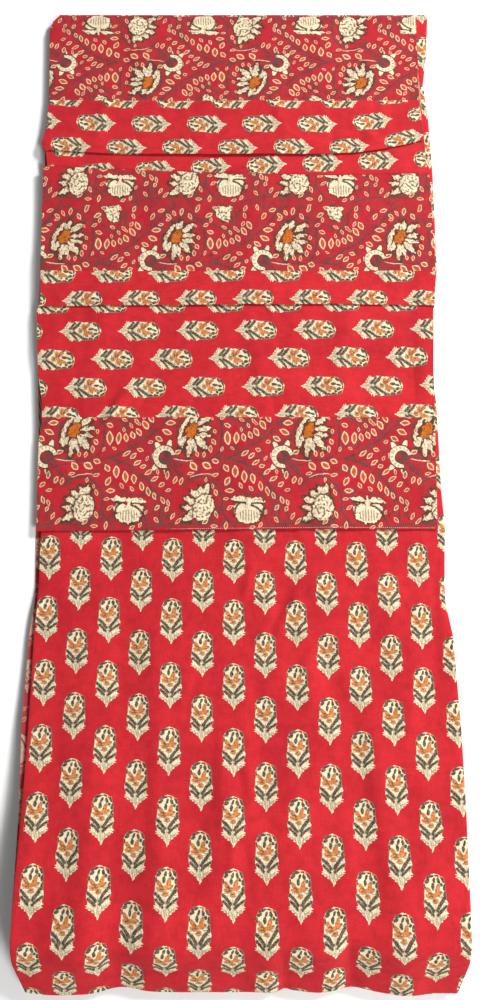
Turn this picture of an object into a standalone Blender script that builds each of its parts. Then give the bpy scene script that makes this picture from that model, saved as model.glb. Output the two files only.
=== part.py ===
"""Printed cotton bedsheet folded into a long strip, with its two pillow covers on the far end.

Metres, +Z up. The strip lies along Y and its near end, at -Y, is a loose fold that is turned
under. Everything is drawn in the strip's own frame, whose Y starts at the middle of the length,
and is then moved so that the origin is under the middle of the whole bundle, on the floor.

The sheet is one solid: four panels of cloth folded back and forth across X, and that section
swept along the strip, over the near end and back underneath. Each cover is one solid too: a bag
with closed sides and an envelope opening across its upper face.
"""

import math
from collections import namedtuple

import bmesh
import bpy
from mathutils import Vector

# One layer of cloth, and the air around it.
CLOTH = 0.0012
AIR = 0.0008
PITCH = CLOTH + AIR
SEAT = 0.0006
STACK = 3 * PITCH + CLOTH

# The strip. Its top run ends at the crest of the near fold, and its under run starts there.
FAR_EDGE = 0.932
UNDER_END = -0.200
LIFT_OFF = -0.130
CLEAR_OF_UNDER = STACK + AIR
CREST_Y = -0.643
CREST_HEIGHT = 0.050
CREST_RADIUS = 0.035
CREST_RISE = 1.8
SLOPE = math.radians(30.0)
NOSE_RADIUS = 0.004
THIRD_PANEL_HEM = 0.004

# Stations that every layer shares, so that stacked facets keep their distance.
COLUMNS = (-0.285, -0.175, -0.065, 0.050, 0.158, 0.270)
ROW_SPACING = 0.056
NEAREST_ROW = -0.600

# Unevenness of the top of the strip.
SWELL = 0.0015
SWELL_LENGTH_X = 0.44
SWELL_LENGTH_Y = 0.62

Edge = namedtuple("Edge", "y left right peek")
SHEET_EDGES = (
    Edge(0.932, -0.342, 0.349, 0.0),
    Edge(0.850, -0.345, 0.343, 0.0),
    Edge(0.785, -0.345, 0.334, 0.0),
    Edge(0.720, -0.345, 0.340, 0.0),
    Edge(0.600, -0.345, 0.343, 0.0),
    Edge(0.420, -0.342, 0.342, 0.0),
    Edge(0.340, -0.338, 0.332, 0.0),
    Edge(0.250, -0.334, 0.322, 0.0),
    Edge(0.170, -0.331, 0.329, 0.0),
    Edge(0.020, -0.330, 0.330, 0.0),
    Edge(-0.040, -0.329, 0.333, 0.009),
    Edge(-0.165, -0.328, 0.326, 0.005),
    Edge(-0.215, -0.330, 0.335, 0.008),
    Edge(-0.350, -0.330, 0.338, 0.011),
    Edge(-0.470, -0.330, 0.336, 0.005),
    Edge(-0.600, -0.331, 0.330, 0.001),
    Edge(-0.670, -0.328, 0.325, 0.0),
    Edge(-0.725, -0.312, 0.312, 0.0),
)

Dent = namedtuple("Dent", "x width back sink")
NEAR_DENTS = (
    Dent(-0.175, 0.060, 0.006, 0.09),
    Dent(0.158, 0.050, 0.006, 0.10),
)
DENT_START = -0.520

Side = namedtuple("Side", "y left right")
Line = namedtuple("Line", "x far opening near")
Cover = namedtuple("Cover", "name overlap lift sides lines")
FAR_COVER = Cover(
    name="cover_far",
    overlap=0.090,
    lift=0.005,
    sides=(
        Side(0.930, -0.336, 0.325),
        Side(0.900, -0.358, 0.325),
        Side(0.745, -0.351, 0.322),
        Side(0.640, -0.360, 0.330),
        Side(0.600, -0.347, 0.332),
        Side(0.275, -0.342, 0.326),
    ),
    lines=(
        Line(-0.345, 0.928, 0.646, 0.280),
        Line(-0.065, 0.926, 0.635, 0.277),
        Line(0.158, 0.926, 0.637, 0.278),
        Line(0.270, 0.927, 0.645, 0.279),
        Line(0.325, 0.928, 0.662, 0.280),
    ),
)
NEAR_COVER = Cover(
    name="cover_near",
    overlap=0.090,
    lift=0.002,
    sides=(
        Side(0.610, -0.355, 0.334),
        Side(0.430, -0.350, 0.336),
        Side(0.345, -0.346, 0.331),
        Side(0.335, -0.353, 0.329),
        Side(0.270, -0.347, 0.325),
        Side(0.170, -0.336, 0.324),
        Side(-0.050, -0.335, 0.318),
    ),
    lines=(
        Line(-0.345, 0.612, 0.340, -0.052),
        Line(-0.065, 0.600, 0.343, -0.050),
        Line(0.158, 0.594, 0.345, -0.048),
        Line(0.325, 0.598, 0.344, -0.049),
    ),
)
SEAM = 0.008
STEP_DOWN = 0.045
EDGE_CLEARANCE = 0.004
OVERLAP_RAMP = 0.030
LIFT_LENGTH = 0.060

FOLD_STEPS = 3
BIG_FOLD_STEPS = 4
NOSE_STEPS = 5
CREST_STEPS = 3

Finish = namedtuple("Finish", "colour roughness metallic")
PRINTED_COTTON = Finish((0.62, 0.018, 0.040, 1.0), 0.85, 0.0)
COVER_COTTON = Finish((0.56, 0.020, 0.045, 1.0), 0.85, 0.0)


def clear_scene():
    """Removes every object that the file starts with."""
    for thing in list(bpy.data.objects):
        bpy.data.objects.remove(thing, do_unlink=True)


def between(table, key, at, column):
    """Reads a column of a table at a place along its key column, on a straight line between rows."""
    rows = sorted(table, key=lambda row: getattr(row, key))
    if at <= getattr(rows[0], key):
        return getattr(rows[0], column)
    for low, high in zip(rows, rows[1:]):
        start, end = getattr(low, key), getattr(high, key)
        if at <= end:
            part = (at - start) / (end - start)
            return getattr(low, column) * (1 - part) + getattr(high, column) * part
    return getattr(rows[-1], column)


def smooth_step(part):
    """Goes from 0 to 1 with level ends as part goes from 0 to 1."""
    part = min(max(part, 0.0), 1.0)
    return part * part * (3 - 2 * part)


def rows_between(far, near):
    """The shared rows from far to near, leaving both ends half a row of room."""
    count = int((FAR_EDGE - NEAREST_ROW) / ROW_SPACING)
    rows = [NEAREST_ROW + ROW_SPACING * step for step in range(count, -1, -1)]
    room = ROW_SPACING / 2
    return [y for y in rows if near + room < y < far - room]


def swell(x, y):
    """How far the top of the strip stands above its flat height at a place, zero near the crest."""
    across = 0.5 + 0.5 * math.sin(2 * math.pi * x / SWELL_LENGTH_X + 1.1)
    along = 0.5 + 0.5 * math.cos(2 * math.pi * y / SWELL_LENGTH_Y - 0.6)
    return SWELL * across * along * smooth_step((y - NEAREST_ROW) / ROW_SPACING)


# The sheet


def arc(centre, radius, start, end, steps):
    """Points on an arc with their outward directions, as ((x, n), (dx, dn)) pairs."""
    pairs = []
    for step in range(steps + 1):
        turn = math.radians(start + (end - start) * step / steps)
        out = (math.cos(turn), math.sin(turn))
        pairs.append(((centre[0] + radius * out[0], centre[1] + radius * out[1]), out))
    return pairs


def panel(start, end, level):
    """Points of one flat panel on the shared columns, with the direction to its left hand."""
    height = CLOTH / 2 + level * PITCH
    heading = 1 if end > start else -1
    inner = [x for x in COLUMNS if min(start, end) < x < max(start, end)]
    return [((x, height), (0.0, float(heading))) for x in sorted(inner, reverse=heading < 0)]


def left_hand(pairs, side):
    """Gives arc points the direction to the left of the way they are walked."""
    return [(place, (out[0] * side, out[1] * side)) for place, out in pairs]


def sheet_section(left, right, peek):
    """Closed outline (x, n) of the four folded panels, n being the height over the lower face.

    The lowest panel's hem peeks out at the left. It turns up round the other three at the right,
    becomes the top panel, folds under at the left and folds back once more inside.
    """
    fold_x = right - CLOTH / 2 - 1.5 * PITCH
    middle = CLOTH / 2 + 1.5 * PITCH
    left_x = left + CLOTH / 2 + PITCH / 2
    line = [((left - peek, CLOTH / 2), (0.0, 1.0))]
    line += panel(left - peek, fold_x, 0)
    line += left_hand(arc((fold_x, middle), 1.5 * PITCH, -90, 90, BIG_FOLD_STEPS), -1)
    line += panel(fold_x, left_x, 3)
    line += left_hand(arc((left_x, middle + PITCH), PITCH / 2, 90, 270, FOLD_STEPS), -1)
    line += panel(left_x, fold_x, 2)
    line += left_hand(arc((fold_x, middle), PITCH / 2, 90, -90, FOLD_STEPS), 1)
    line += panel(fold_x, left + THIRD_PANEL_HEM, 1)
    line.append(((left + THIRD_PANEL_HEM, CLOTH / 2 + PITCH), (0.0, -1.0)))
    half = CLOTH / 2
    first = [(x + dx * half, n + dn * half) for (x, n), (dx, dn) in line]
    second = [(x - dx * half, n - dn * half) for (x, n), (dx, dn) in reversed(line)]
    return first + second


def top_run_height(y):
    """Height of the strip's lower face along its top run."""
    if y >= UNDER_END + (LIFT_OFF - UNDER_END) / 4:
        start = UNDER_END + (LIFT_OFF - UNDER_END) / 4
        return CLEAR_OF_UNDER * smooth_step((LIFT_OFF - y) / (LIFT_OFF - start))
    part = (UNDER_END - y) / (UNDER_END - CREST_Y)
    return CLEAR_OF_UNDER + (CREST_HEIGHT - CLEAR_OF_UNDER) * max(part, 0.0) ** CREST_RISE


def strip_path():
    """The line (y, z) of the strip's lower face: over the top, round the nose and back under."""
    lifting = [LIFT_OFF, (LIFT_OFF + UNDER_END) / 2, UNDER_END + 0.017]
    rows = [FAR_EDGE] + rows_between(FAR_EDGE, LIFT_OFF) + lifting
    rows += rows_between(lifting[-1], NEAREST_ROW - ROW_SPACING)
    path = [(y, top_run_height(y)) for y in rows]
    rise = CREST_RISE * (CREST_HEIGHT - CLEAR_OF_UNDER) / (UNDER_END - CREST_Y)
    crest_start = -math.atan(rise)
    crest_z = CREST_HEIGHT - CREST_RADIUS
    for step in range(CREST_STEPS + 1):
        lean = crest_start + (SLOPE - crest_start) * step / CREST_STEPS
        path.append((CREST_Y - CREST_RADIUS * math.sin(lean), crest_z + CREST_RADIUS * math.cos(lean)))
    nose_z = STACK + NOSE_RADIUS
    drop = path[-1][1] - (nose_z + NOSE_RADIUS * math.cos(SLOPE))
    nose_y = path[-1][0] - drop / math.tan(SLOPE) + NOSE_RADIUS * math.sin(SLOPE)
    path.append((path[-1][0] - drop / math.tan(SLOPE) / 2, path[-1][1] - drop / 2))
    for step in range(NOSE_STEPS + 1):
        lean = SLOPE + (math.pi - SLOPE) * step / NOSE_STEPS
        path.append((nose_y - NOSE_RADIUS * math.sin(lean), nose_z + NOSE_RADIUS * math.cos(lean)))
    path += [(y, STACK) for y in reversed(rows_between(UNDER_END, CREST_Y))]
    path.append((UNDER_END, STACK))
    return path


def path_normals(path):
    """Unit direction away from the strip's lower face at each point of its path."""
    normals = []
    for index in range(len(path)):
        before = Vector(path[max(index - 1, 0)])
        after = Vector(path[min(index + 1, len(path) - 1)])
        way = (after - before).normalized()
        normals.append((way.y, -way.x))
    return normals


def near_dent(x, amount):
    """Sum of the near end's dents at a place across the strip, for their back or sink column."""
    total = 0.0
    for dent in NEAR_DENTS:
        total += getattr(dent, amount) * math.exp(-(((x - dent.x) / dent.width) ** 2))
    return total


def build_sheet():
    """The folded sheet as one solid: its section swept along the strip's path."""
    path = strip_path()
    nose_first = min(range(len(path)), key=lambda index: path[index][0])
    points, rings = [], []
    for index, ((y, z), (ny, nz)) in enumerate(zip(path, path_normals(path))):
        on_top = index <= nose_first
        left = between(SHEET_EDGES, "y", y, "left")
        right = between(SHEET_EDGES, "y", y, "right")
        peek = between(SHEET_EDGES, "y", y, "peek") if on_top else 0.0
        dented = smooth_step((DENT_START - y) / (DENT_START - CREST_Y)) if on_top else 0.0
        moved = smooth_step((DENT_START - y) / (DENT_START - CREST_Y))
        ring = []
        for x, n in sheet_section(left, right, peek):
            if on_top:
                n += swell(x, y) * n / STACK
            low = 1.0 - near_dent(x, "sink") * dented
            back = near_dent(x, "back") * moved
            ring.append(len(points))
            points.append((x, y + ny * n + back, (z + nz * n) * low))
        rings.append(ring)
    return points, tube_faces(rings) + [rings[0], rings[-1][::-1]]


def tube_faces(rings):
    """Quads between closed rings that follow each other."""
    faces = []
    for one, two in zip(rings, rings[1:]):
        count = len(one)
        for j in range(count):
            k = (j + 1) % count
            faces.append([one[j], two[j], two[k], one[k]])
    return faces


# The covers


def strip_top(x, y):
    """Height of the top of the folded sheet where the covers lie."""
    return STACK + swell(x, y)


def step_top():
    """Where the near cover starts to come down, just past the far cover's near edge."""
    return min(line.near for line in FAR_COVER.lines) - EDGE_CLEARANCE


def under_far_cover(x, y):
    """Height of the far cover's lower face."""
    return strip_top(x, y) + SEAT


def under_near_cover(x, y):
    """Height of the near cover's lower face, which steps down past the far cover's near edge."""
    on_it = 1.0 - smooth_step((step_top() - y) / STEP_DOWN)
    return strip_top(x, y) + SEAT + on_it * (PITCH + CLOTH + SEAT)


def flap_level(cover, x, y):
    """Layers under the flap at a place, counted in pitches: two where it covers the near panel."""
    opening = between(cover.lines, "x", x, "opening")
    past = (y - opening - cover.overlap - EDGE_CLEARANCE) / OVERLAP_RAMP
    return 2.0 - smooth_step(past)


def flap_lift(cover, x, y):
    """How far the flap's free edge gapes at a place: most in the middle of the opening."""
    opening = between(cover.lines, "x", x, "opening")
    across = max(0.0, 1.0 - (x / 0.33) ** 2)
    return cover.lift * across * smooth_step(1.0 - (y - opening) / LIFT_LENGTH)


def cover_line(cover, x, y_at, height):
    """Centre line (y, z, ny, nz) of a cover's section, from its flap's edge to its near panel's.

    It runs over the flap to the far edge, back under the whole cover, round the near edge and
    along the near panel to that panel's free edge under the flap.
    """
    far, near = between(cover.lines, "x", x, "far"), between(cover.lines, "x", x, "near")
    opening = between(cover.lines, "x", x, "opening")
    half, turn = CLOTH / 2, PITCH / 2
    base_far, base_near = height(x, far), height(x, near)
    ramp = [y_at["hidden"] + OVERLAP_RAMP / 2, y_at["hidden"]]
    flap_rows = [opening] + sorted(set(y_at["flap"] + ramp))
    line = []
    for y in flap_rows:
        z = height(x, y) + half + flap_level(cover, x, y) * PITCH + flap_lift(cover, x, y)
        line.append((y, z, 0.0, 1.0))
    for (y, z), (dy, dz) in arc((far - half - turn, base_far + half + turn), turn, 90, -90, FOLD_STEPS):
        line.append((y, z, dy, dz))
    for y in y_at["under"]:
        line.append((y, height(x, y) + half, 0.0, -1.0))
    for (y, z), (dy, dz) in arc((near + half + turn, base_near + half + turn), turn, 270, 90, FOLD_STEPS):
        line.append((y, z, dy, dz))
    for y in y_at["panel"] + [opening + cover.overlap]:
        line.append((y, height(x, y) + half + PITCH, 0.0, 1.0))
    return line, len(flap_rows)


def build_cover(cover, height, steps=()):
    """One pillow cover as a closed bag with its envelope slit open.

    At each column the section is a ring of outer and inner points. The last stretch at either
    side, as wide as the seam, is solid: there only the ring's silhouette goes on.
    """
    middle = cover.lines[1]
    hidden = middle.opening + cover.overlap + EDGE_CLEARANCE + OVERLAP_RAMP / 2
    mouth_row = middle.opening - EDGE_CLEARANCE
    y_at = {
        "hidden": hidden,
        "flap": rows_between(middle.far, middle.opening)[::-1],
        "under": sorted(rows_between(middle.far, middle.near) + list(steps), reverse=True),
        "panel": sorted(rows_between(mouth_row, middle.near) + list(steps)),
    }
    over = [y for y in y_at["flap"] if y < middle.opening + cover.overlap - EDGE_CLEARANCE]
    inner = [x for x in COLUMNS if abs(x) < 0.3]
    points, outer_rings, inner_rings, mouths = [], [], [], []
    stations = [("left", 0.0), ("left", SEAM)] + [("column", x) for x in inner]
    stations += [("right", -SEAM), ("right", 0.0)]
    for kind, shift in stations:
        outer, inside = [], []

        def place_x(y):
            if kind == "column":
                return shift
            return between(cover.sides, "y", y, kind) + shift

        reach = place_x(middle.opening)
        line, _ = cover_line(cover, reach, y_at, height)
        mouth_y = between(cover.lines, "x", reach, "opening")
        panel_tail = [mouth_y] + over
        kept = line[:-1]
        tail = [(y, height(reach, y) + CLOTH / 2 + PITCH, 0.0, 1.0) for y in panel_tail]
        line = kept + tail + [line[-1]]
        mouth = len(kept)
        for y, z, ny, nz in line:
            lifted = swell(place_x(y), y) - swell(reach, y)
            for store, side in ((outer, 1), (inside, -1)):
                half = CLOTH / 2 * side
                store.append(len(points))
                points.append((place_x(y), y + ny * half, z + nz * half + lifted))
        outer_rings.append(outer)
        inner_rings.append(inside)
        mouths.append(mouth)
    return points, cover_faces(outer_rings, inner_rings, mouths[0])


def cover_faces(outer, inner, mouth):
    """Faces of a cover: open ribbons between the seams, and the solid seams at both sides."""
    faces = []
    last = len(outer) - 1
    for index in range(last):
        one, two = outer[index], outer[index + 1]
        seam = index in (0, last - 1)
        reach = mouth if seam else len(one) - 1
        for j in range(reach):
            faces.append([one[j], two[j], two[j + 1], one[j + 1]])
        low, high = inner[index], inner[index + 1]
        if seam:
            faces.append([one[mouth], two[mouth], high[0], low[0]])
            faces.append([low[0], high[0], two[0], one[0]])
            continue
        for j in range(len(low) - 1):
            faces.append([low[j + 1], high[j + 1], high[j], low[j]])
        faces.append([low[0], high[0], two[0], one[0]])
        faces.append([one[-1], two[-1], high[-1], low[-1]])
    for index, turned in ((0, False), (last, True)):
        rim = outer[index][: mouth + 1] + [inner[index][0]]
        faces.append(rim[::-1] if turned else rim)
    for index, turned in ((1, True), (last - 1, False)):
        cavity = inner[index] + outer[index][mouth:][::-1]
        faces.append(cavity if turned else cavity[::-1])
    return faces


# Objects


def finish_material(name, finish):
    """A Principled material with the cloth's colour and roughness."""
    material = bpy.data.materials.new(name)
    material.use_nodes = True
    shader = material.node_tree.nodes["Principled BSDF"]
    shader.inputs["Base Color"].default_value = finish.colour
    shader.inputs["Roughness"].default_value = finish.roughness
    shader.inputs["Metallic"].default_value = finish.metallic
    return material


def add_piece(name, points, faces, material):
    """Makes one mesh object from points and faces, smooth but for its folds and hems."""
    mesh = bpy.data.meshes.new(name)
    mesh.from_pydata(points, [], faces)
    shell = bmesh.new()
    shell.from_mesh(mesh)
    bmesh.ops.recalc_face_normals(shell, faces=shell.faces)
    shell.to_mesh(mesh)
    shell.free()
    mesh.materials.append(material)
    mesh.shade_smooth()
    mesh.set_sharp_from_angle(angle=math.radians(50.0))
    piece = bpy.data.objects.new(name, mesh)
    bpy.context.scene.collection.objects.link(piece)
    return piece


def centre_bundle(pieces):
    """Moves the meshes so that the origin is under the middle of the bundle, on the floor."""
    corners = [vertex.co for piece in pieces for vertex in piece.data.vertices]
    low = Vector([min(corner[axis] for corner in corners) for axis in range(3)])
    high = Vector([max(corner[axis] for corner in corners) for axis in range(3)])
    shift = Vector(((low.x + high.x) / 2, (low.y + high.y) / 2, low.z))
    for piece in pieces:
        for vertex in piece.data.vertices:
            vertex.co -= shift
    return shift


def main():
    """Builds the folded sheet and its two covers."""
    clear_scene()
    sheet_cloth = finish_material("printed_cotton", PRINTED_COTTON)
    cover_cloth = finish_material("cover_cotton", COVER_COTTON)
    near_steps = (step_top(), step_top() - STEP_DOWN / 2, step_top() - STEP_DOWN)
    pieces = [
        add_piece("bedsheet", *build_sheet(), sheet_cloth),
        add_piece("cover_far", *build_cover(FAR_COVER, under_far_cover), cover_cloth),
        add_piece("cover_near", *build_cover(NEAR_COVER, under_near_cover, near_steps), cover_cloth),
    ]
    centre_bundle(pieces)


main()
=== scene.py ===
"""A block-printed cotton bedsheet folded to a strip, with two pillow covers on its far end.

The cloth is modelled as it is folded: the sheet's four panels go back and forth across the strip
and turn under at the near end, and each pillow cover is a flat bag with an envelope opening. The
print is worked out from the cloth's own coordinates, in centimetres, by node maths.
"""

import logging
import math
from dataclasses import dataclass, field
from enum import Enum
from functools import reduce
from typing import Any, Callable, Iterable, Optional, Sequence, Union

import bmesh
import bpy
import numpy as np
from mathutils import Matrix, Vector


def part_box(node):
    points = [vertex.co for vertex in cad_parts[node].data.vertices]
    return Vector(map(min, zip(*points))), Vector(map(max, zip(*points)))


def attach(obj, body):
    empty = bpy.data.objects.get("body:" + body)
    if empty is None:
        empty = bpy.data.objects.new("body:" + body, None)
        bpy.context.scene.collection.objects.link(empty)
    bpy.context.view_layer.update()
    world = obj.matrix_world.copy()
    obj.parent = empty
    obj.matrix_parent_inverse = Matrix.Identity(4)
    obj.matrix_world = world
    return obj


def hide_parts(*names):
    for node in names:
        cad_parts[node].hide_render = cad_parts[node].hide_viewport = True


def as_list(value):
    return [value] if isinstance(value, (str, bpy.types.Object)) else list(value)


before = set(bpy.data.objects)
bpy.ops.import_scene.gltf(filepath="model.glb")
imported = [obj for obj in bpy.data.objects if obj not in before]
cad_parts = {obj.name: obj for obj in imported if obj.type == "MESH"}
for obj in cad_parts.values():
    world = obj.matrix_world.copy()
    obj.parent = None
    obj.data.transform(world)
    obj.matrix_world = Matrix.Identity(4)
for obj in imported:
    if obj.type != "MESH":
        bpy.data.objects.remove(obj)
LOG = logging.getLogger("bedsheet")
Number = Union[float, "Value"]

CLOTH = 0.0012
FACE = 0.00035
AIR = 0.0008
PITCH = CLOTH + AIR
SEAT = 0.0006
STACK = 3 * PITCH + CLOTH
CM = 100.0
LEAF_REACH = 1.1
FOLD_STEPS = 6
RIM_STEPS = 5
SHARP_ANGLE = math.radians(60.0)
RED_THREAD = (0.33, 0.010, 0.020, 1.0)
PALE_THREAD = (0.80, 0.74, 0.62, 1.0)
HEM_STITCH_INSET = 0.003
EDGE_STITCH_INSET = 0.0028


class Layer(Enum):
    """Which face of the cloth a row of points lies on."""

    PRINTED = 0.0
    REVERSE = 1.0


class TipWay(Enum):
    """Which way the tips of the printed sprigs point on a piece, seen from above."""

    LEFT = "left"
    RIGHT = "right"


def in_scene(name: str, data: Any) -> bpy.types.Object:
    """Makes an object from a mesh, a light or a camera, and adds it to the scene."""
    thing = bpy.data.objects.new(name, data)
    bpy.context.scene.collection.objects.link(thing)
    return thing


def smooth_step(part: Any) -> Any:
    """Goes from 0 to 1 with level ends as part goes from 0 to 1, for numbers or arrays."""
    part = np.clip(part, 0.0, 1.0)
    return part * part * (3.0 - 2.0 * part)


def shallow(height: np.ndarray, limit: float) -> np.ndarray:
    """Heights whose troughs level off at a limit, so that no layer sinks through the next."""
    return np.where(height < 0.0, limit * np.tanh(height / limit), height)


@dataclass(frozen=True)
class Profile:
    """A short table of one size along the strip or across it, read on straight lines."""

    places: tuple[float, ...]
    sizes: tuple[float, ...]

    def at(self, place: Any) -> Any:
        """The size at a place, a number or an array."""
        order = np.argsort(self.places)
        return np.interp(place, np.array(self.places)[order], np.array(self.sizes)[order])


@dataclass(frozen=True)
class Crease:
    """A soft trough or ridge pressed into cloth, from one place to another.

    Its height is below zero for a trough. Its width is measured across, at a third of its height.
    """

    start: tuple[float, float]
    end: tuple[float, float]
    width: float
    height: float

    def lift(self, x: np.ndarray, y: np.ndarray) -> np.ndarray:
        """Height that the crease adds at each place."""
        along = np.array(self.end) - np.array(self.start)
        length = float(np.hypot(*along))
        along = along / max(length, 1e-6)
        dx, dy = x - self.start[0], y - self.start[1]
        run = dx * along[0] + dy * along[1]
        off = dy * along[0] - dx * along[1]
        past = np.maximum(np.maximum(-run, run - length), 0.0)
        fade = smooth_step(1.0 - past / (3.0 * self.width))
        return self.height * np.exp(-((off / self.width) ** 2)) * fade


def creased(*rows: tuple[float, ...]) -> tuple[Crease, ...]:
    """Creases from rows of (start x, start y, end x, end y, width, height)."""
    return tuple(Crease(row[:2], row[2:4], *row[4:]) for row in rows)


@dataclass
class Strip:
    """The frame that the folded strip is drawn in, and the heights along it.

    The strip runs along Y with its turned-under end at -Y. Its places are measured from the
    middle of the photograph, and the model's origin is under the middle of the bundle.
    """

    far_edge: float = 0.932
    right_edge: float = 0.349
    lift_off: float = -0.130
    under_end: float = -0.200
    covered_to: float = 0.010
    crest_y: float = -0.643
    crest_height: float = 0.050
    crest_radius: float = 0.035
    crest_rise: float = 1.8
    slope: float = math.radians(30.0)
    nose_radius: float = 0.004
    swell_height: float = 0.0015
    swell_length: tuple[float, float] = (0.44, 0.62)
    swell_from: float = -0.600
    shift: tuple[float, float] = field(init=False)

    def __post_init__(self) -> None:
        """Reads from the frame how far the bundle's middle is from the strip's own origin."""
        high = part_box("bedsheet")[1]
        self.shift = (self.right_edge - high[0], self.far_edge - high[1])

    def placed(self, points: np.ndarray) -> np.ndarray:
        """Points of the strip's frame in the model's frame."""
        return points - np.array([self.shift[0], self.shift[1], 0.0])

    def swell(self, x: Any, y: Any) -> Any:
        """How far the strip's top stands above its flat height."""
        across = 0.5 + 0.5 * np.sin(2 * np.pi * x / self.swell_length[0] + 1.1)
        along = 0.5 + 0.5 * np.cos(2 * np.pi * y / self.swell_length[1] - 0.6)
        return self.swell_height * across * along * smooth_step((y - self.swell_from) / 0.056)

    def top_run(self, y: float) -> float:
        """Height of the strip's lower face along its top run."""
        clear = STACK + AIR
        start = self.under_end + (self.lift_off - self.under_end) / 4
        if y >= start:
            return clear * float(smooth_step((self.lift_off - y) / (self.lift_off - start)))
        part = max((self.under_end - y) / (self.under_end - self.crest_y), 0.0)
        return clear + (self.crest_height - clear) * part**self.crest_rise

    def path(self, step: float, covered_step: float, hidden_step: float) -> np.ndarray:
        """The line (y, z) of the strip's lower face, over its top, round its nose and back under.

        Args:
            step: distance between rows where the cloth shows.
            covered_step: the same under the pillow covers.
            hidden_step: the same for the part that is turned under.

        Returns:
            An array of rows (y, z).
        """
        covered = np.arange(self.far_edge, self.covered_to, -covered_step)
        bare = np.arange(covered[-1] - step, self.crest_y + self.crest_radius * 0.2, -step)
        rows = np.concatenate([covered, bare])
        points = [(float(y), self.top_run(float(y))) for y in rows]
        rise = self.crest_rise * (self.crest_height - STACK - AIR) / (self.under_end - self.crest_y)
        leans = np.linspace(-math.atan(rise), self.slope, max(6, int(self.crest_radius * 1.2 / step)))
        top = self.crest_height - self.crest_radius
        arc = [(self.crest_y - self.crest_radius * math.sin(a), top + self.crest_radius * math.cos(a))
               for a in leans]
        points = [point for point in points if point[0] > arc[0][0] + step / 2] + arc
        nose_z = STACK + self.nose_radius
        drop = arc[-1][1] - (nose_z + self.nose_radius * math.cos(self.slope))
        slope_run = drop / math.tan(self.slope)
        nose_y = arc[-1][0] - slope_run + self.nose_radius * math.sin(self.slope)
        count = int(slope_run / step) + 1
        points += [(arc[-1][0] - slope_run * k / count, arc[-1][1] - drop * k / count)
                   for k in range(1, count)]
        points += [(nose_y - self.nose_radius * math.sin(a), nose_z + self.nose_radius * math.cos(a))
                   for a in np.linspace(self.slope, math.pi, 9)]
        points += [(float(y), STACK) for y in np.arange(nose_y + hidden_step, self.under_end, hidden_step)]
        return np.array(points + [(self.under_end, STACK)])


def path_normals(path: np.ndarray) -> np.ndarray:
    """Unit directions away from the lower face along a path of (y, z) rows."""
    before = np.vstack([path[:1], path[:-1]])
    after = np.vstack([path[1:], path[-1:]])
    way = after - before
    way /= np.linalg.norm(way, axis=1)[:, None]
    return np.stack([way[:, 1], -way[:, 0]], axis=1)


# Node maths


@dataclass(frozen=True)
class Value:
    """A number that changes over the cloth. Arithmetic on it adds Math nodes."""

    shop: "NodeShop"
    link: bpy.types.NodeSocket

    def math(self, operation: str, *others: Number, clamp: bool = False) -> "Value":
        """Adds one Math node with this value first."""
        return self.shop.math(operation, self, *others, clamp=clamp)

    def __add__(self, other: Number) -> "Value":
        """Sum."""
        return self.math("ADD", other)

    def __sub__(self, other: Number) -> "Value":
        """Difference."""
        return self.math("SUBTRACT", other)

    def __rsub__(self, other: Number) -> "Value":
        """Difference from a number."""
        return self.shop.math("SUBTRACT", other, self)

    def __mul__(self, other: Number) -> "Value":
        """Product."""
        return self.math("MULTIPLY", other)

    def __abs__(self) -> "Value":
        """Size without its sign."""
        return self.math("ABSOLUTE")

    def times_plus(self, factor: Number, term: Number) -> "Value":
        """This value times a factor plus a term, in one node."""
        return self.math("MULTIPLY_ADD", factor, term)

    def least(self, other: Number) -> "Value":
        """The smaller of two."""
        return self.math("MINIMUM", other)

    def most(self, other: Number) -> "Value":
        """The larger of two."""
        return self.math("MAXIMUM", other)

    def below(self, edge: float, soft: float) -> "Value":
        """A mask that is 1 where the value is under edge and fades to 0 over soft around it."""
        return self.math("MULTIPLY_ADD", -1.0 / soft, edge / soft + 0.5, clamp=True)

    def above(self, edge: float, soft: float) -> "Value":
        """A mask that is 1 where the value is over edge and fades to 0 over soft around it."""
        return self.math("MULTIPLY_ADD", 1.0 / soft, 0.5 - edge / soft, clamp=True)


@dataclass(frozen=True)
class Place:
    """A place on the cloth, in centimetres, as a vector link with its own small moves."""

    shop: "NodeShop"
    link: bpy.types.NodeSocket

    def seen_from(self, centre: tuple[float, float], turn: float = 0.0,
                  size: tuple[float, float] = (1.0, 1.0)) -> "Place":
        """The place measured from a centre, along turned axes, in units of a size."""
        values = {"Vector": self, "Location": (*centre, 0.0), "Rotation": (0.0, 0.0, math.radians(turn)),
                  "Scale": (*size, 1.0)}
        return Place(self.shop, self.shop.node("ShaderNodeMapping", {"vector_type": "TEXTURE"}, values))

    def length(self) -> Value:
        """Distance from the origin of this place."""
        return Value(self.shop, self.shop.node("ShaderNodeVectorMath", {"operation": "LENGTH"},
                                               {0: self}, "Value"))

    def parts(self) -> tuple[Value, Value]:
        """The two coordinates."""
        split = self.shop.raw("ShaderNodeSeparateXYZ", {}, {"Vector": self})
        return Value(self.shop, split.outputs["X"]), Value(self.shop, split.outputs["Y"])


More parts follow.
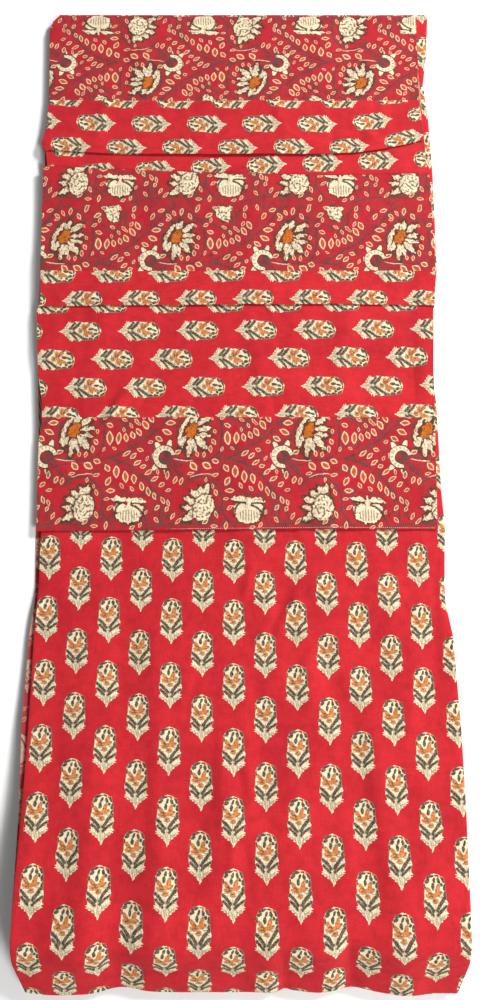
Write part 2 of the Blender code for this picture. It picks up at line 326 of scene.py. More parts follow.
class NodeShop:
    """Makes the nodes of one material."""

    def __init__(self, name: str) -> None:
        """Starts a material with an empty tree.

        Args:
            name: the material's name.
        """
        self.material = bpy.data.materials.new(name)
        self.material.use_nodes = True
        self.tree = self.material.node_tree
        self.tree.nodes.clear()

    def raw(self, kind: str, settings: dict[str, Any], values: dict[Any, Any]) -> bpy.types.Node:
        """Adds a node, sets its settings first, and then its sockets' values or links.

        Args:
            kind: the node's type.
            settings: its properties by name. points holds a Float Curve's points.
            values: what goes to its sockets, by name or number.

        Returns:
            The node.
        """
        node = self.tree.nodes.new(kind)
        for key, setting in settings.items():
            if key == "points":
                self.draw_curve(node, setting)
            else:
                setattr(node, key, setting)
        for key, value in values.items():
            socket = node.inputs[key]
            if isinstance(value, (Value, Place)):
                self.tree.links.new(value.link, socket)
            elif isinstance(value, bpy.types.NodeSocket):
                self.tree.links.new(value, socket)
            else:
                socket.default_value = value
        return node

    @staticmethod
    def draw_curve(node: bpy.types.Node, points: Sequence[tuple[float, float]]) -> None:
        """Gives a Float Curve node its points, which lie between 0 and 1."""
        curve = node.mapping.curves[0]
        for _ in range(len(points) - 2):
            curve.points.new(0.5, 0.5)
        for spot, place in zip(curve.points, sorted(points)):
            spot.location = place
        node.mapping.update()

    def node(self, kind: str, settings: dict[str, Any], values: dict[Any, Any],
             output: Union[str, int] = 0) -> bpy.types.NodeSocket:
        """Adds a node and returns one of its outputs."""
        return self.raw(kind, settings, values).outputs[output]

    def math(self, operation: str, *values: Number, clamp: bool = False) -> Value:
        """Adds a Math node."""
        settings = {"operation": operation, "use_clamp": clamp}
        return Value(self, self.node("ShaderNodeMath", settings, dict(enumerate(values))))

    def vector(self, operation: str, *values: Any) -> Place:
        """Adds a Vector Math node whose result is a vector."""
        return Place(self, self.node("ShaderNodeVectorMath", {"operation": operation},
                                     dict(enumerate(values))))

    def place(self, x: Number, y: Number) -> Place:
        """A place from its two coordinates."""
        return Place(self, self.node("ShaderNodeCombineXYZ", {}, {"X": x, "Y": y}))

    def attribute(self, name: str, output: str) -> bpy.types.NodeSocket:
        """Reads an attribute of the cloth's mesh."""
        return self.node("ShaderNodeAttribute", {"attribute_name": name}, {}, output)

    def curve(self, value: Value, low: float, high: float, points: Sequence[tuple[float, float]],
              top: float) -> Value:
        """Looks a value up on a curve.

        Args:
            value: what is looked up, between low and high.
            low: the value at the curve's left end.
            high: the value at its right end.
            points: (value, result) pairs in the value's own units.
            top: the largest result that the curve holds.

        Returns:
            The result.
        """
        spots = [((place - low) / (high - low), result / top) for place, result in points]
        part = value.times_plus(1.0 / (high - low), -low / (high - low))
        looked_up = self.node("ShaderNodeFloatCurve", {"points": spots}, {"Factor": 1.0, "Value": part})
        return Value(self, looked_up) * top

    def noise(self, at: Place, scale: float, detail: float = 2.0, rough: float = 0.5) -> Value:
        """Soft noise between 0 and 1, its scale in repeats for each centimetre."""
        values = {"Vector": at, "Scale": scale, "Detail": detail, "Roughness": rough}
        return Value(self, self.node("ShaderNodeTexNoise", {"noise_dimensions": "2D"}, values, "Fac"))

    def stir(self, at: Place, scale: float, detail: float) -> bpy.types.NodeSocket:
        """Soft noise as three numbers at once, to move places with."""
        values = {"Vector": at, "Scale": scale, "Detail": detail}
        return self.node("ShaderNodeTexNoise", {"noise_dimensions": "2D"}, values, "Color")

    def finished(self, values: dict[str, Any]) -> bpy.types.Material:
        """Ends the tree with one Principled shader and returns the material."""
        shader = self.raw("ShaderNodeBsdfPrincipled", {}, values)
        self.raw("ShaderNodeOutputMaterial", {}, {"Surface": shader.outputs["BSDF"]})
        return self.material

    def mix(self, factor: Number, under: Any, over: Any, blend: str = "MIX") -> bpy.types.NodeSocket:
        """Lays one colour over another."""
        settings = {"data_type": "RGBA", "blend_type": blend, "clamp_factor": True}
        return self.node("ShaderNodeMix", settings, {"Factor": factor, 6: under, 7: over}, 2)


# The print


@dataclass(frozen=True)
class Dyes:
    """Colours of the printed cotton, as linear RGB."""

    red: tuple[float, ...] = (0.575, 0.021, 0.029, 1.0)
    deep_red: tuple[float, ...] = (0.400, 0.012, 0.022, 1.0)
    band_red: tuple[float, ...] = (0.505, 0.018, 0.028, 1.0)
    cream: tuple[float, ...] = (0.830, 0.730, 0.480, 1.0)
    pale_pink: tuple[float, ...] = (0.760, 0.480, 0.380, 1.0)
    orange: tuple[float, ...] = (0.600, 0.150, 0.008, 1.0)
    grey_brown: tuple[float, ...] = (0.052, 0.040, 0.024, 1.0)
    vine_brown: tuple[float, ...] = (0.105, 0.052, 0.046, 1.0)
    back: tuple[float, ...] = (0.420, 0.040, 0.055, 1.0)


@dataclass(frozen=True)
class Leaf:
    """One pointed leaf or petal: its centre, half sizes, and the turn of its length in degrees."""

    x: float
    y: float
    length: float
    width: float
    turn: float


@dataclass(frozen=True)
class Stem:
    """One printed line between two points, bowed to its left by bow, with its half width."""

    x1: float
    y1: float
    x2: float
    y2: float
    bow: float
    width: float


@dataclass
class Masks:
    """Where each dye lies, each laid over the ones before it. A print may have no brown."""

    brown: Optional[Value]
    outline: Value
    cream: Value
    orange: Value
    dark: Value


@dataclass
class Chart:
    """Draws charted shapes on one repeat of a print, and again where they cross its edges."""

    shop: NodeShop
    low: tuple[float, float]
    repeat: tuple[float, float]
    here: Place

    @classmethod
    def over(cls, shop: NodeShop, at: Place, low: tuple[float, float],
             repeat: tuple[float, float]) -> "Chart":
        """A chart whose repeat starts at a low corner.

        Args:
            shop: makes the nodes.
            at: the place on the cloth.
            low: the repeat's low corner.
            repeat: its width and height.

        Returns:
            The chart.
        """
        high = (low[0] + repeat[0], low[1] + repeat[1], 2.0)
        here = shop.vector("WRAP", at, high, (*low, 0.0))
        return cls(shop, low, repeat, shop.vector("ADD", here, (0.0, 0.0, 1.0)))

    def copies(self, x: float, y: float, reach: float) -> list[tuple[float, float]]:
        """Where a shape of some reach shows in this repeat, its neighbours' overlap counted."""
        shifts = [(i * self.repeat[0], j * self.repeat[1]) for i in (-1, 0, 1) for j in (-1, 0, 1)]
        spots = [(x + dx, y + dy) for dx, dy in shifts]
        return [spot for spot in spots
                if all(low - reach < place < low + size + reach
                       for place, low, size in zip(spot, self.low, self.repeat))]

    def axis(self, row: tuple[float, float, float]) -> Value:
        """A straight scale across the chart: a * x + b * y + c."""
        link = self.shop.node("ShaderNodeVectorMath", {"operation": "DOT_PRODUCT"},
                              {0: self.here, 1: row}, "Value")
        return Value(self.shop, link)

    def axes(self, x: float, y: float, length: float, width: float, turn: float) -> tuple[Value, Value]:
        """Scales along and across a shape, both 0 at its centre and 1 at its half sizes."""
        c, s = math.cos(turn), math.sin(turn)
        along = self.axis((c / length, s / length, -(x * c + y * s) / length))
        return along, self.axis((-s / width, c / width, (x * s - y * c) / width))

    def leaves(self, leaves: Sequence[Leaf]) -> Value:
        """A value under 1 inside any of the leaves."""

        def shapes() -> Iterable[Value]:
            for leaf in leaves:
                for x, y in self.copies(leaf.x, leaf.y, leaf.length * LEAF_REACH):
                    along, across = self.axes(x, y, leaf.length, leaf.width, math.radians(leaf.turn))
                    yield along.times_plus(along, abs(across))

        return reduce(Value.least, shapes())

    def stems(self, stems: Sequence[Stem], thick: float = 1.0) -> Value:
        """A value under 1 on any of the stems, drawn thick times their own width."""

        def shapes() -> Iterable[Value]:
            for stem in stems:
                dx, dy = (stem.x2 - stem.x1) / 2, (stem.y2 - stem.y1) / 2
                width = stem.width * thick
                length, bend = math.hypot(dx, dy), stem.bow / width
                for x, y in self.copies(stem.x1 + dx, stem.y1 + dy, length):
                    along, across = self.axes(x, y, length, width, math.atan2(dy, dx))
                    square = along * along
                    yield abs(square.times_plus(bend, across - bend)).most(square)

        return reduce(Value.least, shapes())

    def oval(self, leaf: Leaf) -> Value:
        """A value under 1 inside an oval of a leaf's sizes."""
        along, across = self.axes(leaf.x, leaf.y, leaf.length, leaf.width, math.radians(leaf.turn))
        return along.times_plus(along, across * across)

    def ovals(self, ovals: Sequence[Leaf]) -> Value:
        """A value under 1 inside any of the ovals."""
        return reduce(Value.least, (self.oval(Leaf(x, y, oval.length, oval.width, oval.turn))
                                    for oval in ovals
                                    for x, y in self.copies(oval.x, oval.y, max(oval.length, oval.width))))


@dataclass(frozen=True)
class VinePrint:
    """The flowering vine of the border, one repeat charted in centimetres round its lotus."""

    low: tuple[float, float] = (-15.9, -3.3)
    repeat: tuple[float, float] = (19.6, 22.3)
    soft: float = 0.07
    thick: float = 1.40
    leaves: tuple[Leaf, ...] = tuple(Leaf(*row) for row in (
        (-3.4, 11.5, 1.15, 0.55, 95), (-1.9, 11.5, 1.00, 0.44, 85), (-0.7, 11.6, 0.70, 0.38, 100),
        (0.4, 12.0, 0.64, 0.38, 110), (1.4, 12.5, 0.74, 0.42, 120), (2.5, 13.7, 0.86, 0.46, 125),
        (3.4, 14.8, 0.82, 0.42, 120), (-3.4, 13.6, 0.60, 0.35, -20), (-5.5, 12.6, 0.42, 0.26, 110),
        (-5.7, 10.9, 0.55, 0.34, -60), (-6.2, 9.7, 0.60, 0.32, 95), (-8.4, 8.9, 0.50, 0.27, 100),
        (-7.3, 8.8, 0.50, 0.27, 80), (-9.0, 6.9, 0.80, 0.48, -50), (-6.8, 7.0, 0.85, 0.54, -30),
        (-5.4, 7.7, 0.64, 0.42, -20), (-3.6, 6.6, 0.68, 0.42, -60), (-2.1, 6.0, 1.00, 0.52, -88),
        (-0.6, 5.2, 0.98, 0.48, -85), (0.8, 4.9, 0.82, 0.44, -80), (2.1, 3.7, 0.78, 0.38, -80),
        (3.2, 2.9, 0.76, 0.35, -75), (4.2, 2.2, 0.62, 0.32, -70), (-3.4, 4.5, 0.78, 0.42, 60),
        (-3.0, 3.0, 0.78, 0.36, 0), (-1.2, 3.8, 0.54, 0.27, -60), (0.5, 3.3, 0.50, 0.26, -50),
        (-4.3, 9.7, 0.44, 0.22, 70), (-0.5, 9.0, 0.78, 0.32, 35), (0.6, 8.6, 0.66, 0.34, 40),
        (1.3, 7.5, 0.70, 0.32, 35), (2.3, 6.9, 0.50, 0.32, 20), (3.2, 6.0, 0.80, 0.30, 35),
        (4.2, 4.9, 0.76, 0.31, 30), (-11.6, 9.2, 0.62, 0.30, 25), (-12.9, 14.0, 0.86, 0.42, 0),
        (-13.5, 12.5, 0.88, 0.44, -25), (-14.8, 11.4, 0.70, 0.38, -30), (-13.3, 5.5, 0.68, 0.34, 80),
        (-14.2, 4.0, 0.62, 0.33, 35), (-12.0, 4.7, 0.64, 0.32, 65), (-11.0, 4.5, 0.62, 0.30, 75),
        (-13.1, 3.1, 0.52, 0.26, 20), (-14.0, 1.5, 0.66, 0.30, 115), (-13.1, 1.1, 0.52, 0.27, 110),
        (-14.9, 0.3, 0.54, 0.31, 50), (-13.3, 0.1, 0.48, 0.28, 60), (-12.3, -1.0, 0.62, 0.27, 60),
        (-11.4, -1.8, 0.74, 0.24, 45), (-9.5, 5.7, 0.58, 0.25, 15), (-5.4, 5.5, 0.60, 0.28, 15),
        (-5.2, -0.8, 0.62, 0.27, 110), (-5.3, 2.7, 0.56, 0.27, 110), (-3.0, 0.3, 0.62, 0.26, 35),
        (-3.6, -2.5, 0.66, 0.30, 80), (-7.0, -1.9, 0.64, 0.30, 40), (-5.5, -2.6, 0.62, 0.28, 0),
        (3.4, 10.9, 0.44, 0.28, 20), (1.7, 9.6, 0.54, 0.30, -20), (-1.1, 12.9, 0.40, 0.22, 100),
        (0.1, 13.6, 0.50, 0.24, 120), (-1.0, 14.5, 0.54, 0.24, -30), (1.0, 14.3, 0.54, 0.28, 130),
        (-4.2, 14.9, 0.54, 0.28, 30), (-6.9, 4.7, 0.42, 0.22, 80), (-5.8, 3.7, 0.38, 0.20, 100),
        (-3.6, 1.7, 0.52, 0.23, 10), (0.7, -2.8, 0.52, 0.26, 20), (2.0, -2.4, 0.48, 0.26, 60),
        (-15.0, -1.6, 0.56, 0.28, 130), (-13.6, 16.5, 0.72, 0.34, 60), (-12.1, 17.6, 0.66, 0.32, 20),
        (-10.8, 16.6, 0.62, 0.30, -40), (-8.5, 17.4, 0.72, 0.34, 80), (-7.0, 16.5, 0.62, 0.32, 120),
        (-5.7, 17.8, 0.62, 0.30, 60), (-3.7, 16.7, 0.72, 0.36, 30), (-2.6, 18.0, 0.56, 0.30, -20),
        (-14.8, 18.0, 0.56, 0.28, 100), (2.7, 17.9, 0.60, 0.30, 70), (2.6, 16.6, 0.56, 0.28, 110),
        (2.3, 15.1, 0.55, 0.28, 60), (-10.8, 16.0, 0.52, 0.26, 30), (-9.8, 17.1, 0.56, 0.27, 120),
        (-12.1, 15.0, 0.50, 0.25, 10), (-5.6, 18.3, 0.50, 0.25, 40), (-3.3, 15.8, 0.52, 0.26, 80),
        (1.4, 13.9, 0.44, 0.22, 140), (-11.2, 12.8, 0.44, 0.22, 60), (-6.1, 14.8, 0.42, 0.20, -40),
        (2.9, 8.2, 0.44, 0.22, 60), (-9.9, 8.8, 0.40, 0.20, 120), (-2.6, 9.8, 0.42, 0.20, 150),
        (-14.9, 6.0, 0.46, 0.22, 100), (1.9, 1.6, 0.46, 0.22, 10), (2.9, -0.4, 0.42, 0.20, 60)))
    stalks: tuple[Stem, ...] = tuple(Stem(*row) for row in (
        (-13.0, 8.4, -3.9, 8.1, -0.35, 0.11), (-3.9, 8.1, 0.4, 10.3, -0.30, 0.15),
        (0.4, 10.3, 4.6, 13.4, -0.40, 0.14), (-3.9, 8.1, 1.6, 5.9, 0.50, 0.16),
        (1.6, 5.9, 4.0, 2.4, 0.40, 0.15), (4.0, 2.4, 3.3, -1.2, 0.70, 0.13),
        (-13.2, 8.0, -9.8, 4.9, -0.50, 0.14), (-13.5, 7.6, -12.0, 4.9, -0.30, 0.11),
        (-14.8, -2.6, -7.6, -2.5, 0.40, 0.14), (-4.6, 15.4, -4.7, 9.6, 0.25, 0.13),
        (-4.7, 9.6, -6.4, 8.3, 0.30, 0.12), (-4.5, 0.3, -2.3, -2.7, -0.20, 0.14),
        (4.4, 14.4, 2.6, 11.7, -0.20, 0.10), (-15.0, 13.0, -10.0, 19.5, -0.30, 0.12),
        (-4.7, 9.8, -4.9, 15.4, -0.50, 0.13), (-4.9, 15.4, -8.0, 16.6, -0.40, 0.13),
        (-8.0, 16.6, -11.0, 14.6, -0.40, 0.13), (1.5, -3.5, 4.8, -2.6, 0.10, 0.12),
        (0.9, 17.6, 0.6, 14.0, 0.50, 0.11), (0.6, 14.0, -3.9, 16.0, 0.60, 0.11),
        (-11.0, 14.6, -11.8, 11.2, -0.45, 0.12), (-2.1, 7.3, 1.4, 8.2, 0.25, 0.08),
        (-6.2, 5.6, -3.2, 7.6, -0.20, 0.09), (-12.6, 6.6, -10.2, 7.2, 0.20, 0.08),
        (-1.0, 13.2, 2.2, 10.9, 0.25, 0.08), (-14.9, 9.6, -12.2, 11.4, 0.20, 0.09),
        (-15.5, 3.6, -14.6, -2.6, 0.50, 0.12), (-13.9, 2.4, -12.8, -1.6, -0.20, 0.11),
        (-1.9, 3.1, 3.6, 2.5, -0.45, 0.09), (-2.8, 8.7, 0.3, 9.6, -0.10, 0.07),
        (0.2, 15.3, -1.5, 12.6, 0.20, 0.09), (2.9, 0.8, 3.5, -2.8, -0.50, 0.12),
        (-4.7, 15.4, -2.0, 18.5, -0.30, 0.12), (0.3, 15.2, 3.3, 18.4, 0.50, 0.12),
        (-12.4, 15.2, -9.3, 18.5, 0.40, 0.11), (-13.4, 8.7, -11.2, 5.9, 0.10, 0.09),
        (-8.0, -2.5, -4.3, 0.2, -0.50, 0.12), (-9.4, 18.5, -6.2, 15.8, 0.40, 0.10)))
    threads: tuple[Stem, ...] = (Stem(-12.2, 8.1, -9.2, 7.8, -0.12, 0.07),
                                 Stem(-9.4, 5.1, -6.0, 5.6, 0.25, 0.06))
    hoop: tuple[float, float, float] = (-8.0, 1.4, 3.8)
    cone: Leaf = Leaf(-7.3, 0.25, 2.10, 1.62, 68)
    cone_petals: tuple[Leaf, ...] = tuple(Leaf(*row) for row in (
        (-6.9, 2.95, 1.10, 0.50, 72), (-7.7, 2.90, 0.90, 0.42, 112), (-8.5, 2.35, 1.10, 0.44, 146),
        (-9.3, 1.35, 1.25, 0.44, 156), (-9.7, 0.25, 1.20, 0.40, 172), (-9.6, -1.15, 1.25, 0.42, 203),
        (-8.9, -0.55, 0.90, 0.34, 186)))
    heart: Leaf = Leaf(-9.35, 12.8, 1.35, 0.80, 62)
    heart_petals: tuple[Leaf, ...] = tuple(Leaf(*row) for row in (
        (-8.9, 14.4, 1.40, 0.44, 68), (-7.3, 14.4, 1.30, 0.46, 36), (-7.2, 13.0, 1.25, 0.36, 8),
        (-7.3, 12.0, 1.20, 0.36, -8), (-7.8, 10.8, 1.50, 0.56, -50), (-9.7, 10.1, 1.70, 0.46, -94),
        (-8.9, 10.3, 1.20, 0.36, -76), (-10.7, 11.0, 1.10, 0.34, -112)))
    heart_wing: Stem = Stem(-9.3, 15.2, -11.3, 10.3, -0.70, 0.30)
    lotus_wings: tuple[Leaf, ...] = (Leaf(-1.45, 1.62, 1.50, 0.44, -7), Leaf(1.50, 1.42, 1.42, 0.44, -8))
    lotus_lobes: tuple[Leaf, ...] = (Leaf(-1.35, 0.20, 1.02, 0.80, 10), Leaf(1.40, 0.22, 1.10, 0.80, -22),
                                     Leaf(0.05, 0.80, 0.36, 1.30, 0), Leaf(0.05, -0.45, 1.30, 0.60, 0))
    lotus_bowl: Leaf = Leaf(0.05, -0.55, 2.15, 1.60, 0)
    lotus_lines: tuple[Stem, ...] = (Stem(-0.45, 1.15, -2.1, -0.62, -0.62, 0.17),
                                     Stem(0.40, 0.75, 2.35, -0.58, 0.20, 0.18),
                                     Stem(-2.6, 1.22, -0.4, 0.96, 0.10, 0.13),
                                     Stem(0.5, 0.98, 2.7, 0.88, 0.05, 0.13))
    bud: tuple[Leaf, ...] = (Leaf(-1.1, 17.0, 1.45, 1.15, -60), Leaf(-2.1, 17.7, 0.60, 0.45, 140),
                             Leaf(-0.2, 17.9, 0.66, 0.50, 50), Leaf(-0.6, 16.0, 0.50, 0.60, 10))
    crescent_at: tuple[float, float, float] = (-13.8, 8.4, -32.0)

    def crescent(self, chart: Chart) -> tuple[Value, Value, Value, Value]:
        """The crescent flower that the main stems leave.

        Args:
            chart: draws on the repeat.

        Returns:
            How far a place is inside its ring, inside its petals, and the masks of its throat and ribs.
        """
        x, y, turn = self.crescent_at
        near = chart.here.seen_from((x, y), turn)
        along, across = near.parts()
        away = chart.shop.place(along, across).length()
        turn = abs(across.math("ARCTAN2", along))
        ring = (turn.times_plus(0.10, 0.17) - abs(away - 1.48)).least((turn - 0.80) * 1.2)
        scallops = (turn * 7.0).math("COSINE").most(-0.1).times_plus(1.00, 1.98) - away
        scallops = scallops.least((turn - 0.92) * 1.2).least(away - 1.98)
        throat = away.below(1.05, 0.1) * turn.below(2.6, 0.4)
        ribs = (turn * 15.0).math("SINE").above(0.55, 0.3) * ring.above(0.12, 0.1) * away.above(1.3, 0.2)
        return ring, scallops, throat, ribs

    def masks(self, shop: NodeShop, at: Place) -> Masks:
        """All dyes of the vine.

        Args:
            shop: makes the nodes.
            at: the place in the vine's own centimetres.

        Returns:
            The masks.
        """
        soft = self.soft
        chart = Chart.over(shop, at, self.low, self.repeat)
        line = abs(shop.noise(at, 0.50, 1.0) - 0.5)
        fine = abs(shop.noise(at.seen_from((7.0, 3.0)), 0.95, 1.0) - 0.5)
        stalk = chart.stems(self.stalks, self.thick)
        twig = line.below(0.020, 0.012).most(fine.below(0.022, 0.014)) * stalk.below(9.0, 4.0)
        strands = shop.noise(at, 3.0, 2.0).times_plus(1.9, 0.05).least(1.0)
        brown = (stalk.below(1.0, 0.4) * strands).most(twig * 0.85)
        core = stalk.below(0.24, 0.2) * 0.4
        hoop_at = chart.axes(self.hoop[0], self.hoop[1], 1.0, 1.0, 0.0)
        away = (hoop_at[0] * hoop_at[0] + hoop_at[1] * hoop_at[1]).math("SQRT")
        hoop = abs(away - self.hoop[2]).below(0.19, soft) * hoop_at[0].times_plus(1.0, 9.0).above(6.3, 0.2)
        brown = brown.most(hoop)
        leaf = chart.leaves(self.leaves)
        orange = leaf.below(0.68, 0.18) * 0.78
        leaf_heart = leaf.below(0.5, 0.3) * 0.22
        thread = chart.stems(self.threads).below(1.0, 0.6)
        cream = (leaf.below(1.05, 0.24) * leaf.above(0.60, 0.2) * 0.9).most(thread * 0.8)
        jagged = shop.stir(at, 1.5, 2.0)
        move = shop.vector("MULTIPLY_ADD", jagged, (0.95, 0.95, 0.0), (-0.475, -0.475, 0.0))
        loose = Chart.over(shop, shop.vector("ADD", at, move), self.low, self.repeat)
        cone = loose.oval(self.cone)
        petal = loose.leaves(self.cone_petals).most(1.7 - cone * 0.5)
        petal = petal.least(loose.leaves(self.heart_petals))
        wing = loose.stems((self.heart_wing,))
        lotus = loose.ovals(self.lotus_lobes).least(loose.leaves(self.lotus_wings))
        below = loose.axis((0.0, 1.6, 2.1))
        lotus = lotus.least(loose.oval(self.lotus_bowl).most(below))
        bud = loose.ovals(self.bud)
        outline = petal.below(2.1, 0.4).most(wing.below(2.0, 0.3)).most(cone.below(1.34, 0.1))
        outline = outline.most(lotus.below(1.35, 0.2)).most(bud.below(1.5, 0.2))
        flower = petal.below(1.0, 0.2).most(wing.below(1.0, 0.2)).most(cone.below(1.0, 0.1))
        flower = flower.most(lotus.below(1.0, 0.1)).most(bud.below(1.0, 0.15))
        specks = shop.noise(at, 3.0, 1.0)
        strokes = shop.noise(at.seen_from((0.0, 0.0), 28.0, (0.5, 2.4)), 3.2, 1.0).above(0.58, 0.08)
        dark = (petal.below(0.14, 0.12).most(strokes * petal.below(0.95, 0.2)) * 0.6).most(leaf_heart)
        dark = dark.most(strokes * wing.below(1.0, 0.2) * 0.6)
        scales = shop.noise(at, 2.3, 1.0).above(0.57, 0.05) * cone.least(bud).below(0.88, 0.1)
        dark = dark.most(scales * 0.9)
        ribs = (chart.axis((14.0, 0.0, 0.0)).math("SINE")).above(0.35, 0.4)
        ribs = ribs * chart.oval(Leaf(0.05, -0.9, 1.75, 0.95, 0)).below(0.9, 0.2) * 0.7
        lines = chart.stems(self.lotus_lines).below(1.0, 0.4)
        dark = dark.most(ribs).most(lines)
        heart = loose.oval(self.heart)
        outline = outline.most(heart.below(1.6, 0.2)).most(core)
        cream = cream.most(flower) * heart.above(1.35, 0.2)
        orange = orange.most(heart.below(1.0, 0.1))
        dark = dark.most(heart.below(0.8, 0.2) * specks.above(0.62, 0.08) * 0.8)
        dark = dark.most(flower * specks.above(0.68, 0.07) * 0.7)
        ring, scallops, throat, folds = self.crescent(chart)
        dark = dark.most(folds * 0.6)
        outline = outline.most(scallops.above(-0.14, 0.08)).most(ring.above(-0.14, 0.08))
        cream = cream.most(scallops.above(0.06, 0.1)).most(ring.above(0.0, 0.08))
        brown = brown.most(throat)
        return Masks(brown, outline, cream * (1.0 - throat), orange, dark)


@dataclass(frozen=True)
class SprigPrint:
    """The small printed sprig of the field, on a staggered lattice, in centimetres."""

    pitch: float = 10.0
    soft: float = 0.08
    half_widths: tuple[tuple[float, float], ...] = (
        (-3.6, 0.0), (-3.2, 0.22), (-2.85, 0.45), (-2.55, 0.85), (-2.25, 1.20), (-1.95, 1.62),
        (-1.65, 1.68), (-1.35, 1.55), (-0.8, 1.70), (-0.1, 1.76), (0.5, 1.64), (1.6, 1.60), (2.4, 1.54),
        (2.9, 1.36), (3.25, 0.95), (3.5, 0.3), (3.6, 0.0))
    bars: tuple[Stem, ...] = (
        Stem(-1.77, 0.15, -0.24, -1.38, 0.10, 0.24), Stem(-1.66, -0.72, -0.36, -1.90, 0.08, 0.21),
        Stem(1.74, 0.70, 0.08, -1.38, -0.12, 0.26), Stem(1.78, -0.60, 0.08, -1.90, -0.10, 0.21))
    veins: tuple[Stem, ...] = (Stem(-0.08, -0.5, -0.02, -3.3, 0.0, 0.05),
                               Stem(-1.3, -1.95, -0.4, -2.75, 0.05, 0.07),
                               Stem(1.3, -1.85, 0.35, -2.75, -0.05, 0.07))
    blooms: tuple[Leaf, ...] = tuple(Leaf(*row) for row in (
        (-0.85, 3.10, 0.85, 0.20, 14), (-1.10, 2.58, 0.42, 0.26, 35), (-0.10, 2.66, 0.20, 0.40, -20),
        (0.58, 2.58, 0.26, 0.40, 18), (1.28, 2.68, 0.25, 0.46, 30), (1.50, 1.74, 0.30, 0.50, -15),
        (0.98, 2.06, 0.24, 0.26, 0), (-0.32, 1.86, 0.26, 0.48, 0), (-1.52, 1.95, 0.15, 0.34, 0),
        (-1.70, 1.15, 0.12, 0.30, 0), (1.42, 0.92, 0.18, 0.34, -30), (0.30, 3.28, 0.32, 0.12, -8)))
    scrolls: tuple[Leaf, ...] = tuple(Leaf(*row) for row in (
        (-0.90, 1.22, 0.62, 0.27, 128), (-0.84, 0.58, 0.54, 0.24, 160), (0.34, 1.38, 0.70, 0.28, 72),
        (0.50, 0.92, 0.56, 0.26, 20), (-0.20, 0.78, 0.42, 0.26, 0), (-0.03, 0.02, 0.34, 0.32, 0)))
    touches: tuple[Leaf, ...] = tuple(Leaf(*row) for row in (
        (0.55, 3.12, 0.14, 0.26, 10), (0.95, 3.00, 0.12, 0.30, 35), (-1.45, 1.70, 0.14, 0.24, 0)))

    def masks(self, shop: NodeShop, at: Place) -> Masks:
        """All dyes of the sprig.

        Args:
            shop: makes the nodes.
            at: the place in the field's own centimetres, tips towards its -Y.

        Returns:
            The masks.
        """
        soft = self.soft
        u, v = at.parts()
        column = (u * (2.0 / self.pitch)).math("ROUND")
        odd = abs(column).math("MODULO", 2.0)
        x = column.times_plus(-self.pitch / 2, u)
        y = odd.times_plus(self.pitch / 2, v).math("WRAP", self.pitch / 2, -self.pitch / 2)
        near = shop.place(x, y)
        half = self.pitch / 2
        chart = Chart.over(shop, near, (-half, -half), (self.pitch, self.pitch))
        width = shop.curve(y, -3.6, 3.6, self.half_widths, 2.0)
        teeth = (y * 19.0).math("SINE") * y.below(-1.5, 0.1) * y.above(-2.8, 0.2)
        ragged = shop.noise(near, 2.4, 1.0).times_plus(0.36, -0.18)
        inside = teeth.times_plus(0.12, width + ragged) - abs(x)
        body = inside.above(0.0, soft)
        cap = chart.oval(Leaf(0.0, 0.7, 1.66, 3.0, 0))
        patchy = shop.noise(near, 1.1, 1.0).above(0.50, 0.06)
        rim = cap.above(0.90, 0.05) * cap.below(1.10, 0.06) * y.above(1.2, 0.3) * patchy
        bars = chart.stems(self.bars).below(1.0, 0.3).most(chart.stems(self.veins).below(1.0, 0.5) * 0.6)
        blooms = chart.ovals(self.blooms).below(1.0, 0.30)
        scroll = chart.ovals(self.scrolls)
        scribble = shop.noise(near.seen_from((0.0, 0.0), 20.0, (1.6, 0.7)), 3.0, 1.0).above(0.56, 0.06)
        dots = ((x + y) * 13.0).math("SINE") * ((x - y) * 13.0).math("SINE")
        dots = dots.above(0.50, 0.25) * y.below(0.9, 0.2) * inside.above(0.18, 0.1) * 0.55
        strokes = (x * 17.0 + y * 3.0).math("SINE").above(0.55, 0.4)
        strokes = strokes * y.below(-2.0, 0.2) * y.above(-3.0, 0.2)
        specks = shop.noise(near, 2.9, 1.0).above(0.64, 0.06)
        specks = specks * inside.above(0.12, 0.2) * y.below(1.0, 0.2) * 0.7
        dark = bars.most(blooms).most(rim).most(specks).most(dots).most(strokes * 0.6)
        dark = dark.most(scroll.below(1.5, 0.3) * 0.75) * scroll.above(1.0, 0.2)
        dark = dark.most(scribble * scroll.below(0.95, 0.1) * 0.75)
        orange = scroll.below(1.0, 0.2).most(chart.ovals(self.touches).below(1.0, 0.3))
        edge = inside.above(-0.06, soft)
        return Masks(None, edge * 0.30, body, orange * body, dark * body)


